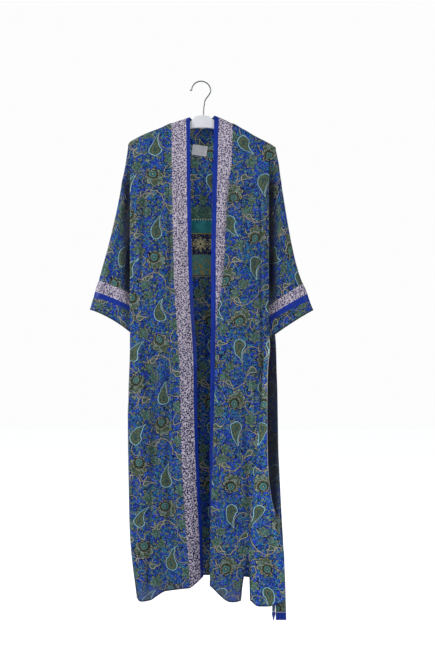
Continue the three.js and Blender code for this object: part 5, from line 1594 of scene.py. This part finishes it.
print("sleeves and sleeve ends made,", len(pieces), "pieces")

# %% [markdown]
# ## Collar, label, belt and its loops
# The band goes on round the back of the neck. The label is a bare white tab, stitched along its
# top edge. The belt is one strip folded in half over a thread loop, with plain tips.

# %% Collar
inner = table(
    ["t", "x", "y", "z"],
    [
        [0, -31.5, 0.15, -99.2], [0.18, -21, 9, -112], [0.32, -15, 19, -126.5], [0.5, 3, 23, -129.8],
        [0.68, 21, 19, -126.5], [0.82, 25.5, 9, -109], [1, 37.4, 0.15, -94.6]
    ]
)
m0 = SHEET_N + HEAD_N + 1
outer = coarse["back"][-1, m0 + 3:m0 + 12, :3]
run = np.concatenate([[0], np.cumsum(np.linalg.norm(np.diff(outer, axis=0), axis=1))])
grid = []
for t in (1, 0.63, 0.25, 0):
    row = []
    for o, k in zip(outer, run / run[-1]):
        bulge = 5 * math.sin(math.pi * t) * math.sin(math.pi * k)
        row.append(
            [
                lerp(inner.x(k), o[0], t), max(SEAM / 2, lerp(inner.y(k), o[1], t) + bulge * 0.5),
                lerp(inner.z(k), o[2], t) + bulge * 0.4
            ]
        )
    grid.append(row)
grid = np.array(grid, float)
rt, ct = lengths(grid, 0), lengths(grid, 1)
rows, cols = densify(rt, 3.0, []), densify(ct, 3.5, [])
p = refine(grid, rt, rows, ct, cols)
p[..., 1] = np.maximum(p[..., 1], SEAM / 2)
level = np.zeros(p.shape[:2], bool)
level[:, [0, -1]] = True
n = grid_normals(p, False, level)
flat = np.stack(np.broadcast_arrays(rows[:, None], cols[None]), -1)
edge = np.full(p.shape[:2], 99.0)
extra = {"hem": edge, "thin": 0 * edge, "fold_shade": 0 * edge}
split = int(np.argmin(abs(rows - rt[2])))
for part, a, b, finish in (("print", 0, split, "band"), ("blue", split, len(rows) - 1, "blue")):
    keep = np.zeros((len(rows) - 1, len(cols) - 1), bool)
    keep[a:b] = True
    ob = stands_for(
        shell(f"silk_band_{part}_neck", p, keep, n, flat, extra, WALL), f"band_{part}_neck", finish
    )
    ob.data.materials.append(FINISH["print"][0])  # the side towards the neck shows the printed facing
    toward = np.array([f.normal.y < 0 for f in ob.data.polygons])
    ob.data.polygons.foreach_set("material_index", toward.astype(np.int32))
print("collar made,", len(pieces), "pieces")

# %% [markdown]
# ## The neck label
# A small bare tab that follows the back of the neck.

# %% Label
def back_depth(x, z):
    g = coarse["back"]
    for i in range(len(g) - 1):
        for j in range(m0, m0 + BACK_N):
            a, b, c, d = g[i, j], g[i, j + 1], g[i + 1, j], g[i + 1, j + 1]
            u = (x - a[0]) / (b[0] - a[0])
            if 0 <= u <= 1 and lerp(a[2], b[2], u) <= z <= lerp(c[2], d[2], u):
                return lerp(
                    lerp(a[1], b[1], u), lerp(c[1], d[1], u),
                    (z - lerp(a[2], b[2], u)) / (lerp(c[2], d[2], u) - lerp(a[2], b[2], u))
                )
    return 22


def label_grid(nu, nv, lift):
    out = []
    for v in np.linspace(0, 1, nv):
        row = []
        for u in np.linspace(0, 1, nu):
            a, b, tilt = (u - 0.5) * 42, (v - 0.5) * 29, -0.135
            x = -4 + a * math.cos(tilt) - b * math.sin(tilt)
            z = -192 + a * math.sin(tilt) + b * math.cos(tilt)
            y = back_depth(x, min(z, -186)) - 1.4 - 0.4 * (1 - v) - lift * math.sin(math.pi * u) * (1 - v)
            row.append([x, y, z])
        out.append(row)
    return np.array(out)


p = label_grid(29, 21, 0.8)
flat = np.stack(np.meshgrid(np.linspace(0, 42, 29), np.linspace(0, 29, 21)), -1)
n = grid_normals(p, False)
ob = shell("neck_tab", p, np.ones((20, 28), bool), n, flat, {}, 0.8)
stands_for(ob, "neck_label", "label")
print("label made,", len(pieces), "pieces")

# %% [markdown]
# ## Label stitches
# Short strands of thread along the top edge of the tab.

# %% Stitches on the label
def strand(points, radius, sides=6):
    """Ring points of a tube along a list of points, with its faces."""
    points = np.array(points, float)
    t = np.gradient(points, axis=0)
    t /= np.linalg.norm(t, axis=1, keepdims=True)
    ref = np.array([0, 1.0, 0]) if abs(t[:, 1]).max() < 0.95 else np.array([0, 0, 1.0])
    a = np.cross(t, ref)
    a /= np.linalg.norm(a, axis=1, keepdims=True)
    b = np.cross(a, t)
    w = np.linspace(0, 2 * math.pi, sides, endpoint=False)
    radius = np.broadcast_to(radius, len(points))[:, None, None]
    co = points[:, None] + radius * (
        np.cos(w)[None, :, None] * a[:, None] + np.sin(w)[None, :, None] * b[:, None]
    )
    k = np.arange(sides)
    ring = np.stack([k, (k + 1) % sides, (k + 1) % sides + sides, k + sides], -1)
    faces = (ring[None] + np.arange(len(points) - 1)[:, None, None] * sides).reshape(-1, 4).tolist()
    end = (len(points) - 1) * sides
    return co.reshape(-1, 3), faces + [list(k[::-1]), list(k + end)]


co, faces = [], []
for u in np.linspace(0.04, 0.96, 15):
    j = int(round(u * 28))
    a = p[18, j] - n[18, j] * 0.1
    way = (p[18, min(j + 1, 28)] - p[18, max(j - 1, 0)])
    way /= np.linalg.norm(way)
    side = n[18, j] if n[18, j][1] < 0 else -n[18, j]
    c, f = strand(
        [a + way * d + side * (0.42 + 0.22 * math.cos(d * 1.3)) for d in (-0.9, -0.45, 0, 0.45, 0.9)], 0.22
    )
    faces += [[k + sum(map(len, co)) for k in q] for q in f]
    co.append(c)
ob = write_mesh("neck_tab_stitches", place(np.concatenate(co)), faces)
ob.data.materials.append(FINISH["label"][0])
ob.data.uv_layers.new(name="flat")
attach(ob, "root")
print("label stitched,", len(faces), "faces of thread")

# %% [markdown]
# ## The belt
# One flat strip, folded in half over a loop, with a plain tip at each end.

# %% Belt
def strip(name, path, width, thick, finish, node, step=5.0):
    """A flat strip along rows of x, y, z, turn of its width in plan, share of the width."""
    path = np.array(path, float)
    t = np.concatenate([[0], np.cumsum(np.linalg.norm(np.diff(path[:, :3], axis=0), axis=1))])
    want = densify(t, step, [])
    q = np.concatenate(
        [
            cubic(t, path[:, None, :3], want)[:, 0],
            cubic(t, np.concatenate([path[:, None, 3:5], path[:, None, 3:4]], -1), want)[:, 0, :2]
        ],
        1
    )
    tangent = np.gradient(q[:, :3], axis=0)
    across = np.stack([np.cos(q[:, 3]), np.sin(q[:, 3]), 0 * want], -1)
    out = np.cross(across, tangent)
    out /= np.linalg.norm(out, axis=1, keepdims=True)
    share = np.linspace(-1, 1, 9)
    dish = 0.25 * thick * np.cos(share * math.pi) * 0.5
    p = q[:, None, :3] + across[:, None] * (
        share[None, :, None] * width / 2 * q[:, 4][:, None, None]
    ) + out[:, None] * dish[None, :, None]
    n = np.broadcast_to(out[:, None], p.shape)
    flat = np.stack(np.broadcast_arrays(share[None] * width / 2 + 40, -want[:, None]), -1)
    body = thick * (0.45 + 0.55 * (1 - abs(share) ** 6))[None] * np.ones((len(want), 1))
    ob = shell(
        name, p, np.ones((len(want) - 1, 8), bool), n, flat,
        {"hem": np.full(p.shape[:2], 99.0), "thin": np.zeros(p.shape[:2]), "fold_shade": np.zeros(p.shape[:2])},
        body
    )
    return stands_for(ob, node, finish)


narrow = table(
    ["z", "x", "y", "turn", "share"],
    [
        [-560, 180, 46.2, 0, 1], [-640, 183, 46.5, 0.12, 1], [-800, 189, 46, -0.25, 1],
        [-1000, 193, 46.5, 0.3, 1], [-1200, 199, 46, 0.5, 0.95], [-1400, 203.2, 47, 0.95, 0.8],
        [-1450, 203.9, 47, 1.1, 0.62], [-1478, 203.4, 46.5, 1.1, 0.55], [-1507, 202.6, 46, 1.1, 0.4]
    ]
)
wide = table(
    ["z", "x", "y", "turn", "share"],
    [
        [-560, 180, 38.8, 0, 1], [-640, 184, 38.5, -0.1, 1], [-800, 192, 38.5, 0.1, 1],
        [-1000, 200, 39, -0.1, 1], [-1200, 210, 38.5, 0.1, 1], [-1400, 221, 39, -0.15, 1],
        [-1450, 222.5, 39, -0.2, 1], [-1482, 223.5, 38.5, -0.2, 1], [-1507, 224, 38, -0.2, 1]
    ]
)
heights = [-590, -640, -720, -800, -880, -960, -1040, -1120, -1200, -1280, -1350, -1400, -1440]


def belt_row(t, z, share=None):
    return [t.x(z), t.y(z), z, t.turn(z), t.share(z) if share is None else share]


over = [
    [
        180, 42.5 + 3.9 * math.cos(math.pi * u), -572 + 4.4 * math.sin(math.pi * u), 0, 1
    ] for u in (0.18, 0.5, 0.82)
]
belt = [
    belt_row(narrow, z) for z in [-1483, *reversed(heights)]
] + over + [belt_row(wide, z) for z in [*heights, -1485]]
strip("silk_belt", belt, 30, 1.7, "print", "belt")
strip(
    "silk_belt_tip_narrow",
    [
        belt_row(narrow, -1483.3), belt_row(narrow, -1490, 0.72), belt_row(narrow, -1497, 0.45),
        belt_row(narrow, -1507, 0.12)
    ],
    30, 1.7, "blue", "belt_tip_narrow", 2.0
)
strip(
    "silk_belt_tip_wide", [belt_row(wide, -1485.3), belt_row(wide, -1496), belt_row(wide, -1507)], 30, 1.7,
    "blue", "belt_tip_wide", 2.0
)
print("belt and tips made,", len(pieces), "pieces")

# %% [markdown]
# ## The belt loops
# Three strands are twisted into a carrier on each side of the back.

# %% Belt loops: a twisted thread carrier on each side of the back
# Each foot is sunk into the cloth under it: offset and depth of the foot on the lower x, then
# of the one on the higher x.
LOOPS = (
    ("belt_loop_left", 180, (-22, 27.5), (18.5, 29.8)), ("belt_loop_right", -180, (-19, 30.4), (22, 30.9))
)
for name, x, low, high in LOOPS:
    arc = np.array(
        [
            low, [low[0] + 0.5, 36], [low[0] + 3, 40.5], [-14, 42.4], [0, 42.6], [14, 42.4],
            [high[0] - 3, 40.5], [high[0] - 0.5, 36], high
        ]
    )
    t = np.concatenate([[0], np.cumsum(np.linalg.norm(np.diff(arc, axis=0), axis=1))])
    want = densify(t, 0.6, [])
    line = cubic(t, np.concatenate([arc, arc[:, :1]], 1)[:, None], want)[:, 0, :2]
    co, faces = [], []
    for k in range(3):
        a = want * 1.1 + k * 2 * math.pi / 3
        path = np.stack([x + line[:, 0], line[:, 1] + 0.32 * np.sin(a), -571.6 + 1.0 * np.cos(a)], -1)
        c, f = strand(path, 0.72, 7)
        faces += [[q + sum(map(len, co)) for q in face] for face in f]
        co.append(c)
    ob = write_mesh(f"thread_{name}", place(np.concatenate(co)), faces)
    ob.data.uv_layers.new(name="flat")
    stands_for(ob, name, "blue")
print("loops made,", len(pieces), "pieces")

# %% [markdown]
# ## The hanger
# A flat moulded hanger: the outline is read from two lines, and its section is a soft rectangle.
# The wire hook is a tube along an arc and a gooseneck.

# %% Hanger body and hook
top = table(
    ["x", "z"],
    [
        [-192, -174], [-185, -168.5], [-157, -154], [-129, -142.5], [-101, -131.5], [-73, -123],
        [-45, -112.5], [-30, -110.5], [-22, -103], [-14, -96.5], [2, -94.4], [20, -96], [28, -101],
        [36, -106.5], [60, -116], [80, -126], [95, -129], [123, -143], [151, -160], [179, -174.5],
        [190, -182], [198, -190]
    ]
)
low = table(
    ["x", "z"],
    [
        [-192, -181], [-185, -184], [-157, -173], [-129, -163], [-101, -153], [-73, -143.5], [-45, -135],
        [-22, -130], [2, -128.5], [26, -130], [60, -138], [95, -152], [123, -165], [151, -180], [179, -194],
        [190, -198], [198, -195]
    ]
)
co, sides = [], 24
xs = np.concatenate([[-192, -191.2, -189.5, -187], np.linspace(-184, 190, 150), [193, 195.6, 197.2, 198]])
for x in xs:
    a, b = top.z(x), low.z(x)
    end = min(1, 0.3 + 0.7 * math.sqrt(max(0, min(x + 192, 198 - x)) / 6))
    for w in np.linspace(0, 2 * math.pi, sides, endpoint=False):
        cy, cz = math.cos(w), math.sin(w)
        y = 4 * end * math.copysign(abs(cy) ** 0.55, cy)
        grow = (a - b) / 2
        rim = min(3.0, grow)
        z = (a + b) / 2 + math.copysign(
            max(0, grow - rim) * min(1, abs(cz) * 3) + rim * abs(cz) ** 0.8, cz
        ) * (1 if abs(cz) > 1e-9 else 0)
        co.append([x, y, z])
co = np.array(co)
k = np.arange(sides)
ring = np.stack([k, (k + 1) % sides, (k + 1) % sides + sides, k + sides], -1)
faces = (ring[None] + np.arange(len(xs) - 1)[:, None, None] * sides).reshape(-1, 4).tolist()
faces += [list(k[::-1]), list(k + (len(xs) - 1) * sides)]
faces = [q[::-1] for q in faces]
stands_for(write_mesh("moulded_hanger", co / 1000, faces), "hanger_body", "plastic")

wire_pts = [[-31, -25.5], [-28.8, -23.6]]
for a in range(176, -7, -13):
    wire_pts.append([26.75 * math.cos(math.radians(a)), -25 + 26.75 * math.sin(math.radians(a))])
wire_pts += [
    [23.6, -34], [18.6, -41.5], [13.6, -48], [10.2, -55.5], [9.2, -64], [7.6, -73], [7, -81], [7, -93.75]
]
pts = np.array([[x, 0, z] for x, z in wire_pts], float)
t = np.concatenate([[0], np.cumsum(np.linalg.norm(np.diff(pts, axis=0), axis=1))])
want = densify(t, 1.6, [0.3, 0.8])
line = cubic(t, np.concatenate([pts, pts[:, :1]], 1)[:, None], want)[:, 0, :3]
radius = 1.75 * np.sqrt(np.clip((want + 0.25) / 1.6, 0, 1))
co, faces = strand(line, radius, 18)
stands_for(write_mesh("bent_wire_hook", co / 1000, faces), "hanger_hook", "steel")
print(len(pieces), "pieces stand for CAD nodes")

# %% [markdown]
# ## How each sheet was cut
# Widths and lengths are those of the pattern pieces, with the shaped ones given their area as
# well.

# %% Cuts
CUTS = {
    "silk_front_right": (
        0.22, 1.35, 0.235
    ), "silk_front_left": (0.24, 1.36, 0.255), "silk_back": (0.62, 1.34, 0.77),
    "silk_band_print_right": (
        0.042, 1.36, 0.055
    ), "silk_band_print_left": (0.042, 1.36, 0.054), "silk_band_print_neck": (0.042, 0.2, 0.008),
    "silk_band_blue_right": (
        0.013, 1.36, 0.0168
    ), "silk_band_blue_left": (0.013, 1.36, 0.0172), "silk_band_blue_neck": (0.014, 0.17, 0.0022),
    "silk_sleeve_right": (0.40, 0.28, 0.05), "silk_sleeve_left": (0.40, 0.29, 0.055),
    "silk_cuff_print_right": (0.30, 0.038, 0.0105), "silk_cuff_print_left": (0.30, 0.035, 0.0095),
    "silk_cuff_blue_right": (0.31, 0.019, 0.0055), "silk_cuff_blue_left": (0.31, 0.019, 0.0055),
    "silk_cuff_end_right": (0.33, 0.07, 0.0165), "silk_cuff_end_left": (0.33, 0.055, 0.0135),
    "neck_tab": (0.042, 0.029, None), "silk_belt": (0.03, 1.84, None),
    "silk_belt_tip_narrow": (0.03, 0.024, 0.0004), "silk_belt_tip_wide": (0.03, 0.022, None),
}
for name, (w, l, area) in CUTS.items():
    ob = pieces[name]
print(len(CUTS), "sheets,", round(sum(a or w * l for w, l, a in CUTS.values()), 2), "m2 of cloth")

# %% [markdown]
# ## Room and light
# A plain pale floor and backdrop and three large soft lamps, as in a small studio.

# %% Stage
def plane(name, corners):
    me = bpy.data.meshes.new(name)
    me.from_pydata(corners, [], [[0, 1, 2, 3]])
    ob = bpy.data.objects.new(name, me)
    bpy.context.scene.collection.objects.link(ob)
    g = Graph(name, 0.9)
    seen = g.node("ShaderNodeLightPath")
    g.set(g.bsdf, {"Emission Color": (1, 1, 1, 1), "Emission Strength": seen * 0.69})
    ob.data.materials.append(g.finish(linear(236, 236, 238), None))
    return ob


plane("floor", [(-6, -6, -1.64), (6, -6, -1.64), (6, 6, -1.64), (-6, 6, -1.64)])
world = bpy.data.worlds.new("studio")
bpy.context.scene.world = world
world.use_nodes = True
sky = world.node_tree
lit, shown = sky.nodes["Background"], sky.nodes.new("ShaderNodeBackground")
lit.inputs[0].default_value, lit.inputs[1].default_value = (0.9, 0.93, 1.0, 1), 0.36
shown.inputs[0].default_value, shown.inputs[1].default_value = (0.98, 0.98, 0.985, 1), 1.0
blend, path = sky.nodes.new("ShaderNodeMixShader"), sky.nodes.new("ShaderNodeLightPath")
for a, b in (
    (path.outputs[0], blend.inputs[0]), (lit.outputs[0], blend.inputs[1]),
    (shown.outputs[0], blend.inputs[2]), (blend.outputs[0], sky.nodes["World Output"].inputs[0])
):
    sky.links.new(a, b)


def lamp(name, at, to, size, power):
    data = bpy.data.lights.new(name, "AREA")
    data.shape, data.size, data.energy = "DISK", size, power
    ob = bpy.data.objects.new(name, data)
    bpy.context.scene.collection.objects.link(ob)
    ob.location = at
    d = np.array(to, float) - np.array(at, float)
    ob.rotation_euler = (math.acos(-d[2] / np.linalg.norm(d)), 0, math.atan2(d[1], d[0]) - math.pi / 2)


lamp("key", (-2.6, -1.6, 0.8), (0, 0, -0.7), 1.3, 62)
lamp("fill", (2.2, -1.9, 0.0), (0, 0, -0.8), 1.6, 17)
lamp("back", (0.6, 2.6, 0.9), (0, 0, -0.7), 2.0, 30)
bpy.context.scene.view_settings.view_transform = "Standard"
